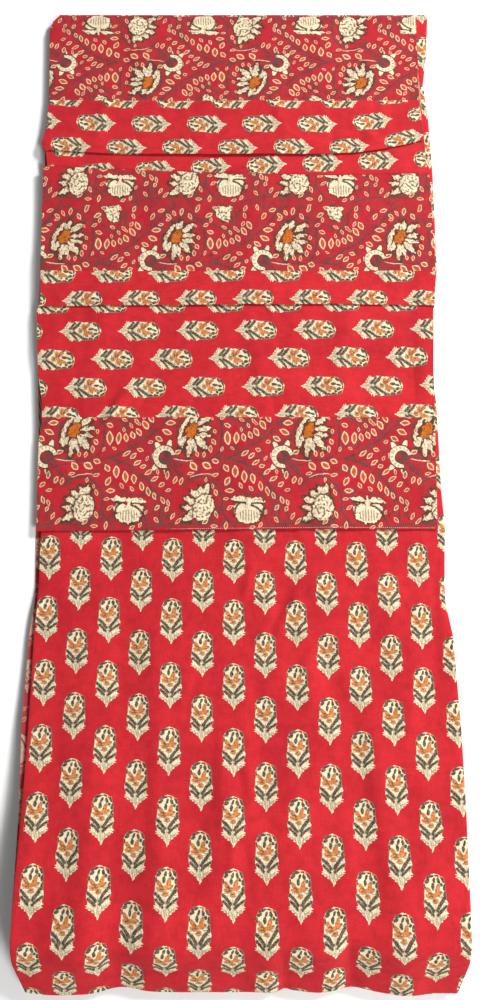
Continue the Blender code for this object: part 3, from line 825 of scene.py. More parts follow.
@dataclass(frozen=True)
class PrintedCotton:
    """Finish of the printed cloth: ground, print, weave, slubs and patches of painted shade."""

    name: str
    print_place: str
    ground: tuple[float, ...]
    chart: Union[VinePrint, SprigPrint]
    dyes: Dyes = Dyes()
    thread: float = 0.045
    roughness: float = 0.82
    sheen: float = 0.03
    bump: float = 0.22
    bump_height: float = 0.0004
    # Colour that darkens the patches of painted shade.
    painted_shade_tint: tuple[float, ...] = (0.84, 0.80, 0.80, 1.0)
    slub_shade: tuple[float, ...] = (0.72, 0.68, 0.68, 1.0)

    def lay(self, shop: NodeShop, ground: Any, masks: Masks, worn: Value) -> bpy.types.NodeSocket:
        """Prints the dyes over a ground.

        Args:
            shop: makes the nodes.
            ground: the colour under the print.
            masks: where each dye lies.
            worn: how well the dye took, about 1.

        Returns:
            The printed colour.
        """
        dyes = self.dyes
        colour = ground
        if masks.brown is not None:
            colour = shop.mix(masks.brown * worn * 0.95, colour, dyes.vine_brown)
        colour = shop.mix(masks.outline * worn * 0.9, colour, dyes.grey_brown)
        cream = shop.mix(worn, dyes.pale_pink, dyes.cream)
        colour = shop.mix(masks.cream, colour, cream)
        colour = shop.mix(masks.orange * worn, colour, dyes.orange)
        return shop.mix(masks.dark * worn.times_plus(0.7, 0.3), colour, dyes.grey_brown)

    def build(self) -> bpy.types.Material:
        """Makes the material.

        Returns:
            The material.
        """
        shop = NodeShop(self.name)
        dyes = self.dyes
        cloth_at = Place(shop, shop.attribute(self.print_place, "Vector"))
        waver = shop.vector("MULTIPLY_ADD", shop.stir(cloth_at, 1.1, 2.0), (0.20, 0.20, 0.0),
                            (-0.10, -0.10, 0.0))
        waver = shop.vector("MULTIPLY_ADD", shop.stir(cloth_at, 4.2, 1.0), (0.16, 0.16, 0.0), waver)
        print_at = shop.vector("ADD", shop.vector("ADD", cloth_at, waver), (-0.08, -0.08, 0.0))
        patch = shop.noise(print_at, 0.09, 2.0)
        grain = shop.noise(print_at, 3.4, 3.0, 0.7)
        worn = grain.times_plus(-1.3, 1.55).math("MINIMUM", 1.0)
        ground = shop.mix(patch.times_plus(1.2, -0.35), self.ground, dyes.deep_red)
        masks = self.chart.masks(shop, print_at)
        colour = self.lay(shop, ground, masks, worn)
        # Painted shade: random darker patches a few centimetres across, in place of the soft shading of the
        # cloth's rumples.
        painted_shade_patches = shop.noise(print_at, 0.55, 4.0, 0.65)
        colour = shop.mix(painted_shade_patches.times_plus(3.4, -1.35), colour, self.painted_shade_tint, "MULTIPLY")
        streaks = shop.noise(print_at.seen_from((0.0, 0.0), 0.0, (1.0, 14.0)), 7.0, 2.0, 0.6)
        cross = shop.noise(print_at.seen_from((0.0, 0.0), 0.0, (14.0, 1.0)), 7.0, 2.0, 0.6)
        slubs = streaks * 0.6 + cross * 0.4
        colour = shop.mix(slubs.times_plus(2.2, -0.75), colour, self.slub_shade, "MULTIPLY")
        reverse = Value(shop, shop.attribute("reverse", "Fac"))
        faded = shop.mix(0.55, colour, dyes.back)
        colour = shop.mix(reverse, colour, faded)
        x, y = cloth_at.parts()
        turns = 2 * math.pi / self.thread
        weave = (x * turns).math("SINE") * (y * turns).math("SINE")
        height = weave.times_plus(0.5, slubs * 2.0)
        bump = shop.node("ShaderNodeBump", {}, {"Strength": self.bump, "Distance": self.bump_height,
                                                "Height": height})
        rough = grain.times_plus(0.16, self.roughness - 0.08)
        material = shop.finished({
            "Base Color": colour, "Roughness": rough, "Normal": bump, "Sheen Weight": self.sheen,
            "Sheen Roughness": 0.5, "Specular IOR Level": 0.12})
        LOG.info("%s: %d nodes", self.name, len(shop.tree.nodes))
        return material


def printed_cloth() -> list[bpy.types.Material]:
    """The two finishes of every piece: the field's sprigs first, and the border's vine second."""
    dyes = Dyes()
    return [PrintedCotton("sprig_cotton", "sprig_place", dyes.red, SprigPrint()).build(),
            PrintedCotton("vine_cotton", "vine_place", dyes.band_red, VinePrint()).build()]


# Cloth in its folds


@dataclass
class ClothMesh:
    """Points and faces of a piece of cloth with the places of its print."""

    points: list[np.ndarray] = field(default_factory=list)
    sprig: list[np.ndarray] = field(default_factory=list)
    vine: list[np.ndarray] = field(default_factory=list)
    band: list[np.ndarray] = field(default_factory=list)
    reverse: list[np.ndarray] = field(default_factory=list)
    faces: list[list[int]] = field(default_factory=list)

    def size(self) -> int:
        """Number of points so far."""
        return sum(len(row) for row in self.points)

    def add_row(self, points: np.ndarray, sprig: np.ndarray, vine: np.ndarray, band: np.ndarray,
                reverse: np.ndarray) -> list[int]:
        """Adds a row of points with their print places.

        Returns:
            The points' numbers.
        """
        first = self.size()
        for store, row in ((self.points, points), (self.sprig, sprig), (self.vine, vine),
                           (self.band, band), (self.reverse, reverse)):
            store.append(np.asarray(row, dtype=float))
        return list(range(first, first + len(points)))

    def build(self, name: str, strip: Strip,
              finishes: Sequence[bpy.types.Material]) -> bpy.types.Object:
        """Makes the object, shaded smooth, with its normals outwards.

        Args:
            name: the piece's name.
            strip: the frame that the points are in.
            finishes: the field's finish and the border's.

        Returns:
            The object.
        """
        mesh = bpy.data.meshes.new(name)
        mesh.from_pydata(strip.placed(np.concatenate(self.points)).tolist(), [], self.faces)
        for key, rows in (("sprig_place", self.sprig), ("vine_place", self.vine)):
            values = np.concatenate(rows) * CM
            vectors = np.zeros((len(values), 3))
            vectors[:, :2] = values
            mesh.attributes.new(key, "FLOAT_VECTOR", "POINT").data.foreach_set("vector", vectors.ravel())
        reverse = np.concatenate(self.reverse)
        mesh.attributes.new("reverse", "FLOAT", "POINT").data.foreach_set("value", reverse)
        for finish in finishes:
            mesh.materials.append(finish)
        depth = np.concatenate(self.band)
        kinds = [int(depth[face].mean() > 0.0) for face in self.faces]
        mesh.polygons.foreach_set("material_index", kinds)
        mesh.shade_smooth()
        mesh.set_sharp_from_angle(angle=SHARP_ANGLE)
        piece = in_scene(name, mesh)
        face_outwards(mesh)
        return piece


def face_outwards(mesh: bpy.types.Mesh) -> None:
    """Turns all faces of a closed mesh so that they point outwards."""
    shell = bmesh.new()
    shell.from_mesh(mesh)
    bmesh.ops.recalc_face_normals(shell, faces=shell.faces)
    shell.to_mesh(mesh)
    shell.free()


def arc(centre: tuple[float, float], radius: float, start: float, end: float,
        steps: int) -> list[tuple[tuple[float, float], tuple[float, float]]]:
    """Points on an arc with their outward directions."""
    pairs = []
    for turn in np.radians(np.linspace(start, end, steps + 1)):
        out = (math.cos(turn), math.sin(turn))
        pairs.append(((centre[0] + radius * out[0], centre[1] + radius * out[1]), out))
    return pairs


@dataclass
class FoldedSheet:
    """The bedsheet: four panels folded back and forth, swept along the strip and turned under."""

    strip: Strip
    step: float = 0.0052
    covered_step: float = 0.0105
    hidden_step: float = 0.030
    hidden_columns: int = 12
    top_width: float = 0.66
    settle: float = 0.60
    trough_limit: float = 0.0027
    crease_gain: float = 1.5
    settle_run: float = 0.05
    narrowing: Profile = Profile((0.0, -0.10, -0.64), (1.0, 0.995, 0.970))
    gather: float = 0.35
    stretch: float = 0.0096
    stretch_from: float = -0.100
    stretch_run: float = 0.540
    third_panel_hem: float = 0.004
    cut: tuple[float, float] = (2.70, 2.27)
    lattice: tuple[float, float] = (-0.013, -0.094)
    lattice_slant: float = 0.021
    hem_band: float = 0.185
    places: tuple[float, ...] = (0.932, 0.850, 0.785, 0.720, 0.600, 0.420, 0.340, 0.250, 0.170, 0.020,
                                 -0.040, -0.165, -0.215, -0.350, -0.470, -0.600, -0.670, -0.725)
    lefts: tuple[float, ...] = (-0.342, -0.345, -0.345, -0.345, -0.345, -0.342, -0.338, -0.334, -0.331,
                                -0.330, -0.329, -0.328, -0.330, -0.330, -0.330, -0.331, -0.328, -0.312)
    rights: tuple[float, ...] = (0.349, 0.343, 0.334, 0.340, 0.343, 0.342, 0.332, 0.322, 0.329, 0.330,
                                 0.333, 0.326, 0.335, 0.338, 0.336, 0.330, 0.325, 0.312)
    peeks: tuple[float, ...] = (0.0, 0.0, 0.0, 0.0, 0.0, 0.0, 0.0, 0.0, 0.0, 0.0, 0.009, 0.005, 0.008,
                                0.011, 0.005, 0.001, 0.0, 0.0)
    dents: tuple[tuple[float, float, float, float], ...] = (
        (-0.175, 0.034, 0.007, 0.08), (0.158, 0.026, 0.007, 0.08), (0.066, 0.016, 0.003, 0.04),
        (-0.255, 0.050, -0.004, -0.03), (0.250, 0.050, -0.004, -0.02))
    dent_start: float = -0.520
    creases: tuple[Crease, ...] = creased(
        (-0.190, -0.088, 0.329, -0.088, 0.0280, -0.0034),
        (0.015, -0.103, 0.006, -0.144, 0.0060, 0.0018), (0.069, -0.149, 0.047, -0.201, 0.0070, -0.0022),
        (0.085, -0.160, 0.062, -0.195, 0.0080, 0.0018), (0.161, -0.116, 0.178, -0.105, 0.0055, -0.0014),
        (0.083, -0.046, 0.087, -0.092, 0.0060, -0.0024),
        (0.314, -0.063, 0.302, -0.270, 0.0055, -0.0015),
        (0.153, -0.270, 0.189, -0.241, 0.0055, -0.0015),
        (0.189, -0.241, 0.253, -0.238, 0.0055, -0.0013),
        (0.077, -0.261, 0.099, -0.235, 0.0060, -0.0016), (0.052, -0.185, 0.032, -0.219, 0.0070, 0.0014),
        (0.092, -0.173, 0.105, -0.311, 0.0130, 0.0018), (0.133, -0.250, 0.159, -0.369, 0.0130, -0.0030),
        (0.166, -0.355, 0.184, -0.552, 0.0160, -0.0034), (0.205, -0.330, 0.225, -0.600, 0.0200, 0.0016),
        (-0.031, -0.372, -0.027, -0.479, 0.0120, 0.0020),
        (-0.003, -0.412, 0.000, -0.454, 0.0060, -0.0015),
        (-0.013, -0.505, -0.016, -0.562, 0.0060, 0.0015),
        (0.006, -0.523, 0.010, -0.578, 0.0060, -0.0015),
        (0.020, -0.280, 0.035, -0.480, 0.0110, -0.0012),
        (-0.243, -0.219, -0.225, -0.587, 0.0220, 0.0020),
        (-0.190, -0.210, -0.178, -0.600, 0.0180, -0.0018),
        (-0.137, -0.219, -0.121, -0.624, 0.0180, 0.0018),
        (-0.300, -0.180, -0.285, -0.640, 0.0220, -0.0022),
        (0.280, -0.180, 0.262, -0.330, 0.0150, 0.0014), (0.154, -0.627, 0.218, -0.619, 0.0055, -0.0014),
        (-0.060, -0.250, -0.085, -0.330, 0.0080, -0.0012),
        (-0.178, -0.684, -0.005, -0.690, 0.0060, -0.0036),
        (0.040, -0.692, 0.130, -0.684, 0.0060, -0.0022),
        (0.150, -0.680, 0.270, -0.690, 0.0060, -0.0020),
        (0.056, -0.660, 0.062, -0.725, 0.0060, -0.0030),
        (0.152, -0.650, 0.158, -0.700, 0.0060, -0.0020),
        (-0.230, -0.665, -0.120, -0.660, 0.0070, 0.0012))

    def section(self, left: float, right: float, peek: float) -> list[tuple[float, float, float, float]]:
        """The folded panels' outline at one row.

        Args:
            left: the top panel's left fold.
            right: the outer fold.
            peek: how far the lowest panel's hem shows at the left.

        Returns:
            Closed rows of (x, height over the lower face, place across the cloth, reverse or not).
        """
        half = CLOTH / 2
        fold_x, middle = right - half - 1.5 * PITCH, half + 1.5 * PITCH
        left_x = left + half + PITCH / 2
        line: list[tuple[tuple[float, float], tuple[float, float]]] = []

        def panel(start: float, end: float, level: int, count: int) -> None:
            heading = 1.0 if end > start else -1.0
            xs = np.linspace(start, end, count + 1)[1:-1]
            inset = smooth_step(np.minimum(xs - left, fold_x - xs) / self.settle_run)
            sag = self.settle * inset if level in (1, 2) else 0.0 * inset
            line.extend(((float(x), half + level * PITCH * (1.0 - float(low))), (0.0, heading))
                        for x, low in zip(xs, sag))

        def fold(centre: tuple[float, float], radius: float, start: float, end: float, side: float) -> None:
            line.extend((place, (out[0] * side, out[1] * side))
                        for place, out in arc(centre, radius, start, end, FOLD_STEPS))

        line.append(((left - peek, half), (0.0, 1.0)))
        panel(left - peek, fold_x, 0, self.hidden_columns)
        fold((fold_x, middle), 1.5 * PITCH, -90, 90, -1)
        panel(fold_x, left_x, 3, self.fine_columns)
        fold((left_x, middle + PITCH), PITCH / 2, 90, 270, -1)
        panel(left_x, fold_x, 2, self.hidden_columns)
        fold((fold_x, middle), PITCH / 2, 90, -90, 1)
        panel(fold_x, left + self.third_panel_hem, 1, self.hidden_columns)
        line.append(((left + self.third_panel_hem, half + PITCH), (0.0, -1.0)))
        ends = np.array([place for place, _ in line])
        run = np.concatenate([[0.0], np.cumsum(np.linalg.norm(np.diff(ends, axis=0), axis=1))])
        rows = [(x + dx * FACE, n + dn * FACE, float(s), Layer.REVERSE.value)
                for ((x, n), (dx, dn)), s in zip(line, run)]
        rows += [(x - dx * FACE, n - dn * FACE, float(s), Layer.PRINTED.value)
                 for ((x, n), (dx, dn)), s in zip(line[::-1], run[::-1])]
        return rows

    @property
    def fine_columns(self) -> int:
        """Columns of the panel that shows."""
        return round(self.top_width / self.step)

    def ripples(self, x: np.ndarray, y: np.ndarray) -> np.ndarray:
        """Height of all creases and of the cloth's slight waves."""
        lift = sum(crease.lift(x, y) for crease in self.creases)
        waves = 0.0005 * np.sin(x * 61.0 + 2.0 * np.sin(y * 7.0)) * np.cos(y * 9.0 + x * 5.0)
        waves += 0.0004 * np.sin(x * 23.0 - y * 17.0) + 0.0003 * np.sin(x * 97.0 + y * 13.0)
        waves += 0.0013 * np.sin(x * 65.0 + 2.0 * np.sin(y * 8.0 + 1.0)) * np.cos(y * 5.5 + x * 4.0)
        return shallow(self.crease_gain * lift + waves, self.trough_limit)

    def build(self, finishes: Sequence[bpy.types.Material]) -> bpy.types.Object:
        """Makes the sheet.

        Args:
            finishes: the field's finish and the border's.

        Returns:
            The finished piece.
        """
        strip, cloth = self.strip, ClothMesh()
        path = strip.path(self.step, self.covered_step, self.hidden_step)
        normals = path_normals(path)
        nose = int(np.argmin(path[:, 0]))
        run = np.concatenate([[0.0], np.cumsum(np.linalg.norm(np.diff(path, axis=0), axis=1))])
        left_of, right_of = Profile(self.places, self.lefts), Profile(self.places, self.rights)
        peek_of = Profile(self.places, self.peeks)
        crest_run = float(run[int(np.argmax(path[:, 0] < strip.crest_y))])
        rings = []
        for index, ((y, z), (ny, nz)) in enumerate(zip(path, normals)):
            on_top = index <= nose
            peek = float(peek_of.at(y)) if on_top else 0.0
            rows = np.array(self.section(float(left_of.at(y)), float(right_of.at(y)), peek))
            x, n, across, reverse = rows.T
            share = n / STACK
            if on_top:
                fade = smooth_step((0.02 - y) / 0.06)
                n = n + strip.swell(x, y) * share + self.ripples(x, np.full_like(x, y)) * share * fade
            moved = float(smooth_step((self.dent_start - y) / (self.dent_start - strip.crest_y)))
            sink, back = np.zeros_like(x), np.zeros_like(x)
            for place, width, recede, lower in self.dents:
                shape = np.exp(-(((x - place) / width) ** 2))
                back += recede * shape
                sink += lower * shape
            low = 1.0 - (sink * moved if on_top else 0.0)
            points = np.stack([x, y + ny * n + back * moved, (z + nz * n) * low], axis=1)
            length = strip.far_edge - run[index] - self.gather * max(run[index] - crest_run, 0.0)
            length -= self.stretch * float(smooth_step((self.stretch_from - y) / self.stretch_run))
            length = np.full_like(x, length)
            sprig = np.stack([x / self.narrowing.at(y) - self.lattice[0],
                              length - self.lattice[1] + self.lattice_slant * x], axis=1)
            vine = np.stack([length, across], axis=1)
            depth = self.hem_band - np.minimum(across, across.max() - across)
            rings.append(cloth.add_row(points, sprig, vine, depth, reverse))
        for one, two in zip(rings, rings[1:]):
            count = len(one)
            for j in range(count):
                k = (j + 1) % count
                cloth.faces.append([one[j], two[j], two[k], one[k]])
        cloth.faces += [rings[0], rings[-1][::-1]]
        piece = cloth.build("folded_sheet", strip, finishes)
        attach(piece, "root")
        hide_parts("bedsheet")
        LOG.info("folded_sheet: %d faces", len(cloth.faces))
        return piece


@dataclass(frozen=True)
class SprigLay:
    """How the field's sprigs lie on one part of a cover.

    place is the middle of one sprig, shear moves nearer rows to the right, slant raises the rows'
    right ends, and wide stretches the rows.
    """

    place: tuple[float, float]
    shear: float = 0.0
    slant: float = 0.0
    wide: float = 1.0


@dataclass
class PillowCover:
    """One pillow cover: a flat bag with closed sides and an envelope opening on its upper face."""

    name: str
    node: str
    side: str
    strip: Strip
    far: Profile
    near: Profile
    opening: Profile
    left: Profile
    right: Profile
    base: Callable[[Any, Any], Any]
    tips: TipWay
    flap_print: SprigLay
    panel_print: SprigLay
    flap_band: tuple[float, float, float]
    panel_band: tuple[float, float, float]
    vine_start: tuple[float, float]
    creases: tuple[Crease, ...]
    lift: float
    lift_run: tuple[tuple[float, float], ...] = ((-0.35, 0.2), (0.0, 1.0), (0.35, 0.2))
    overlap: float = 0.090
    clearance: float = 0.004
    ramp: float = 0.030
    lift_length: float = 0.060
    seam: float = 0.006
    step: float = 0.0056
    columns: int = 112
    columns_run: tuple[float, float] = (-0.315, 0.300)
    first_row: float = 0.012
    room: float = 0.014
    under_step: float = 0.02
    over_step: float = 0.01
    pull_run: float = 0.20
    vine_stretch: float = 1.05
    hem_height: float = 0.0004
    hem_depth: float = 0.014
    hem_run: float = 0.003
    trough_limit: float = 0.0009
    crease_gain: float = 1.6

    def level(self, x: float, y: np.ndarray) -> np.ndarray:
        """Layers under the flap, counted in pitches."""
        past = (y - self.opening.at(x) - self.overlap - self.clearance) / self.ramp
        return 2.0 - smooth_step(past)

    def ripples(self, x: np.ndarray, y: np.ndarray) -> np.ndarray:
        """Height of the cover's creases and slight waves."""
        lift = sum(crease.lift(x, y) for crease in self.creases)
        waves = 0.0006 * np.sin(x * 57.0 + 1.5 * np.sin(y * 11.0)) * np.cos(y * 13.0 + x * 6.0)
        waves += 0.0004 * np.sin(x * 21.0 + y * 35.0)
        return shallow(self.crease_gain * lift + waves, self.trough_limit)

    def rows(self) -> dict[str, np.ndarray]:
        """Fixed rows of the flap, the lower panel and the near panel, from far to near."""
        far, near = float(self.far.at(0.0)), float(self.near.at(0.0))
        opening = float(self.opening.at(0.0))
        edges = [edge for edge in (self.flap_band[0], self.panel_band[1]) if near < edge < far]
        every = np.arange(far - self.first_row, near + self.first_row, -self.step)
        every = every[np.abs(every[:, None] - np.array(edges)).min(axis=1) > self.step * 0.4]
        every = np.sort(np.concatenate([every, edges]))[::-1]
        room = self.room
        return {
            "flap": every[every > opening + room * 2][::-1],
            "under": np.arange(far - self.first_row, near + self.first_row, -self.under_step),
            "panel": every[every < opening - room * 2][::-1],
            "over": np.arange(opening + room * 2, opening + self.overlap - room, self.over_step),
        }

    def flap_top(self, reach: float, y: np.ndarray) -> np.ndarray:
        """Height of the flap's cloth at places along one column."""
        across = np.full_like(y, reach)
        from_edge = y - self.opening.at(reach)
        rise = self.lift * float(Profile(*zip(*self.lift_run)).at(reach))
        lifted = rise * smooth_step(1.0 - from_edge / self.lift_length)
        hem = self.hem_height * smooth_step((self.hem_depth - from_edge) / self.hem_run)
        top = self.base(across, y) + CLOTH / 2 + self.level(reach, y) * PITCH
        return top + lifted + hem + self.ripples(across, y)

    def panel_top(self, reach: float, y: np.ndarray) -> np.ndarray:
        """Height of the near panel's cloth at places along one column."""
        across = np.full_like(y, reach)
        return self.base(across, y) + CLOTH / 2 + PITCH + self.ripples(across, y)

    def section(self, reach: float, rows: dict[str, np.ndarray]) -> tuple[list[tuple], int]:
        """The section (y, z, ny, nz, part) at one column, walked from the flap's edge.

        Args:
            reach: the column's place across.
            rows: the fixed rows.

        Returns:
            The walk's points, and the number of the point on the near panel under the flap's edge.
        """
        half, turn = CLOTH / 2, PITCH / 2
        far, near = float(self.far.at(reach)), float(self.near.at(reach))
        opening = float(self.opening.at(reach))
        line: list[tuple] = []

        def base(y: np.ndarray) -> np.ndarray:
            return self.base(np.full_like(y, reach), y)

        def wrinkled(y: np.ndarray, share: float) -> np.ndarray:
            return self.ripples(np.full_like(y, reach), y) * share

        flap = np.concatenate([[opening, opening + 0.008, opening + 0.013, opening + 0.018], rows["flap"]])
        line += [(y, z, 0.0, 1.0, 0) for y, z in zip(flap, self.flap_top(reach, flap))]
        edge = np.array([far])
        rim = float((base(edge) + wrinkled(edge, 0.7))[0])
        middle = (far - half - turn, rim + half + turn)
        line += [(y, z, dy, dz, 0)
                 for (y, z), (dy, dz) in arc(middle, turn, 90, -90, RIM_STEPS)]
        under = rows["under"]
        line += [(y, z, 0.0, -1.0, 1) for y, z in zip(under, base(under) + half + wrinkled(under, 0.3))]
        edge = np.array([near])
        rim = float((base(edge) + wrinkled(edge, 0.5))[0])
        middle = (near + half + turn, rim + half + turn)
        line += [(y, z, dy, dz, 2)
                 for (y, z), (dy, dz) in arc(middle, turn, 270, 90, RIM_STEPS)]
        panel = np.concatenate([rows["panel"], [opening - 0.017, opening - 0.008]])
        line += [(y, z, 0.0, 1.0, 2) for y, z in zip(panel, self.panel_top(reach, panel))]
        mouth = len(line)
        over = np.concatenate([[opening], rows["over"], [opening + self.overlap]])
        line += [(y, z, 0.0, 1.0, 2) for y, z in zip(over, self.panel_top(reach, over))]
        return line, mouth

    def print_places(self, x: np.ndarray, y: np.ndarray,
                     part: np.ndarray) -> tuple[np.ndarray, np.ndarray, np.ndarray]:
        """Where the print is at each point.

        Args:
            x: places across.
            y: places along.
            part: 0 on the flap, 1 underneath, 2 on the near panel.

        Returns:
            The sprigs' place, the vine's place and the depth inside a band of vine.
        """
        on_panel = part == 2
        panel, flap = self.panel_print, self.flap_print
        ax = np.where(on_panel, panel.place[0], flap.place[0])
        ay = np.where(on_panel, panel.place[1], flap.place[1])
        shear = np.where(on_panel, panel.shear, flap.shear)
        slant = np.where(on_panel, panel.slant, flap.slant)
        wide = np.where(on_panel, panel.wide, flap.wide)
        pull = self.opening.at(x) - self.opening.at(0.0)
        pull = pull * smooth_step(1.0 - np.abs(y - self.opening.at(x)) / self.pull_run)
        up = y - ay - slant * x - np.where(on_panel, 0.0, pull)
        run = (x - ax + shear * up) / wide
        side = 1.0 if self.tips is TipWay.LEFT else -1.0
        sprig = np.stack([-up * side, run * side], axis=1)
        low, high, lotus = (np.where(on_panel, one, other)
                            for one, other in zip(self.panel_band, self.flap_band))
        start = np.where(on_panel, self.vine_start[1], self.vine_start[0])
        vine = np.stack([(x - start) * side, (y - lotus) * side / self.vine_stretch], axis=1)
        depth = np.minimum(y - low, high - y)
        return sprig, vine, depth

    def build(self, finishes: Sequence[bpy.types.Material]) -> bpy.types.Object:
        """Makes the cover.

        Args:
            finishes: the field's finish and the border's.

        Returns:
            The finished piece.
        """
        cloth, rows = ClothMesh(), self.rows()
        middle = np.linspace(*self.columns_run, self.columns)
        stations = [("left", 0.0), ("left", self.seam)] + [("column", float(x)) for x in middle]
        stations += [("right", -self.seam), ("right", 0.0)]
        outers, inners, mouth = [], [], 0
        for kind, shift in stations:
            edges = {"left": self.left, "right": self.right}
            reach = shift if kind == "column" else float(edges[kind].at(self.opening.at(0.0))) + shift
            line, mouth = self.section(reach, rows)
            y, z, ny, nz, part = np.array(line).T
            x = np.full_like(y, reach) if kind == "column" else edges[kind].at(y) + shift
            z = z + self.base(x, y) - self.base(np.full_like(y, reach), y)
            for store, side, layer in ((outers, 1.0, Layer.PRINTED), (inners, -1.0, Layer.REVERSE)):
                points = np.stack([x, y + ny * FACE * side, z + nz * FACE * side], axis=1)
                sprig, vine, depth = self.print_places(x, y, part)
                reverse = np.full_like(y, layer.value)
                store.append(cloth.add_row(points, sprig, vine, depth, reverse))
        self.skin(cloth, outers, inners, mouth)
        piece = cloth.build(self.name, self.strip, finishes)
        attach(piece, "root")
        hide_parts(self.node)
        LOG.info("%s: %d faces", self.name, len(cloth.faces))
        return piece

    @staticmethod
    def skin(cloth: ClothMesh, outer: list[list[int]], inner: list[list[int]], mouth: int) -> None:
        """Adds the faces between the columns, with solid seams at both sides.

        Args:
            cloth: the mesh so far.
            outer: each column's points on the printed face.
            inner: the same on the inner face.
            mouth: the number of the point under the flap's edge.
        """
        last = len(outer) - 1
        for index in range(last):
            one, two, low, high = outer[index], outer[index + 1], inner[index], inner[index + 1]
            seam = index in (0, last - 1)
            reach = mouth if seam else len(one) - 1
            cloth.faces += [[one[j], two[j], two[j + 1], one[j + 1]] for j in range(reach)]
            cloth.faces.append([low[0], high[0], two[0], one[0]])
            if seam:
                cloth.faces.append([one[mouth], two[mouth], high[0], low[0]])
                continue
            cloth.faces += [[low[j + 1], high[j + 1], high[j], low[j]] for j in range(len(low) - 1)]
            cloth.faces.append([one[-1], two[-1], high[-1], low[-1]])
        for index in (0, last):
            cloth.faces.append(outer[index][: mouth + 1] + [inner[index][0]])
        for index in (1, last - 1):
            cloth.faces.append(inner[index] + outer[index][mouth:][::-1])


# Stitches


@dataclass
class StitchRow:
    """A row of stitches along a hem, repeated along a line by geometry nodes."""

    name: str
    node: str
    strip: Strip
    line: np.ndarray
    colour: tuple[float, ...]
    pitch: float = 0.0032
    length: float = 0.0022
    thickness: float = 0.0006
    seed: int = 7

    def thread(self) -> bpy.types.Material:
        """The thread's finish, with fine twist along the seam."""
        shop = NodeShop(self.name + "_thread")
        at = Place(shop, shop.node("ShaderNodeTexCoord", {}, {}, "Object"))
        fibre = shop.noise(at.seen_from((0.0, 0.0), 0.0, (0.001, 0.001)), 1.0, 1.0)
        shade = shop.mix(fibre, self.colour, (0.75, 0.70, 0.66, 1.0), "MULTIPLY")
        return shop.finished({"Base Color": shade, "Roughness": 0.7})

    def tree(self) -> bpy.types.NodeTree:
        """The node tree that sets stitches along the line at an even pitch.

        Returns:
            The tree, with the inputs Line, Pitch, Size, Seed and Thread.
        """
        tree = bpy.data.node_groups.new(self.name + "_nodes", "GeometryNodeTree")
        sockets = tree.interface
        sockets.new_socket("Line", in_out="INPUT", socket_type="NodeSocketGeometry")
        sockets.new_socket("Pitch", in_out="INPUT", socket_type="NodeSocketFloat")
        sockets.new_socket("Size", in_out="INPUT", socket_type="NodeSocketVector")
        sockets.new_socket("Seed", in_out="INPUT", socket_type="NodeSocketInt")
        sockets.new_socket("Thread", in_out="INPUT", socket_type="NodeSocketMaterial")
        sockets.new_socket("Stitches", in_out="OUTPUT", socket_type="NodeSocketGeometry")

        def add(kind: str, settings: dict[str, Any], values: dict[Any, Any]) -> bpy.types.Node:
            node = tree.nodes.new(kind)
            for key, setting in settings.items():
                setattr(node, key, setting)
            for key, value in values.items():
                if isinstance(value, bpy.types.NodeSocket):
                    tree.links.new(value, node.inputs[key])
                else:
                    node.inputs[key].default_value = value
            return node

        given = add("NodeGroupInput", {}, {}).outputs
        curve = add("GeometryNodeMeshToCurve", {}, {"Mesh": given["Line"]}).outputs["Curve"]
        spots = add("GeometryNodeResampleCurve", {"mode": "LENGTH"},
                    {"Curve": curve, "Length": given["Pitch"]}).outputs["Curve"]
        way = add("GeometryNodeInputTangent", {}, {}).outputs["Tangent"]
        turn = add("FunctionNodeAlignRotationToVector", {"axis": "X"}, {"Vector": way}).outputs["Rotation"]
        vary = add("FunctionNodeRandomValue", {"data_type": "FLOAT_VECTOR"},
                   {0: (0.85, 0.85, 0.85), 1: (1.15, 1.15, 1.15), "Seed": given["Seed"]}).outputs[0]
        size = add("ShaderNodeVectorMath", {"operation": "MULTIPLY"},
                   {0: given["Size"], 1: vary}).outputs[0]
        bead = add("GeometryNodeMeshUVSphere", {}, {"Segments": 6, "Rings": 4, "Radius": 0.5})
        rows = add("GeometryNodeInstanceOnPoints", {}, {
            "Points": spots, "Instance": bead.outputs["Mesh"], "Rotation": turn,
            "Scale": size}).outputs["Instances"]
        solid = add("GeometryNodeRealizeInstances", {}, {"Geometry": rows}).outputs["Geometry"]
        dyed = add("GeometryNodeSetMaterial", {}, {"Geometry": solid,
                                                   "Material": given["Thread"]}).outputs["Geometry"]
        add("NodeGroupOutput", {}, {"Stitches": dyed})
        return tree

    def build(self) -> bpy.types.Object:
        """Makes the row of stitches as one mesh.

        Returns:
            The finished piece.
        """
        mesh = bpy.data.meshes.new(self.name + "_line")
        points = self.strip.placed(self.line).tolist()
        mesh.from_pydata(points, [(k, k + 1) for k in range(len(points) - 1)], [])
        piece = in_scene(self.name, mesh)
        modifier = piece.modifiers.new("stitches", "NODES")
        modifier.node_group = self.tree()
        values = {"Pitch": self.pitch, "Size": (self.length, self.thickness, self.thickness),
                  "Seed": self.seed, "Thread": self.thread()}
        for item in modifier.node_group.interface.items_tree:
            if item.in_out == "INPUT" and item.name in values:
                modifier[item.identifier] = values[item.name]
        depsgraph = bpy.context.evaluated_depsgraph_get()
        piece.data = bpy.data.meshes.new_from_object(piece.evaluated_get(depsgraph))
        piece.modifiers.clear()
        piece.data.shade_smooth()
        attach(piece, "root")
        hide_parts(self.node)
        LOG.info("%s: %d faces", self.name, len(piece.data.polygons))
        return piece


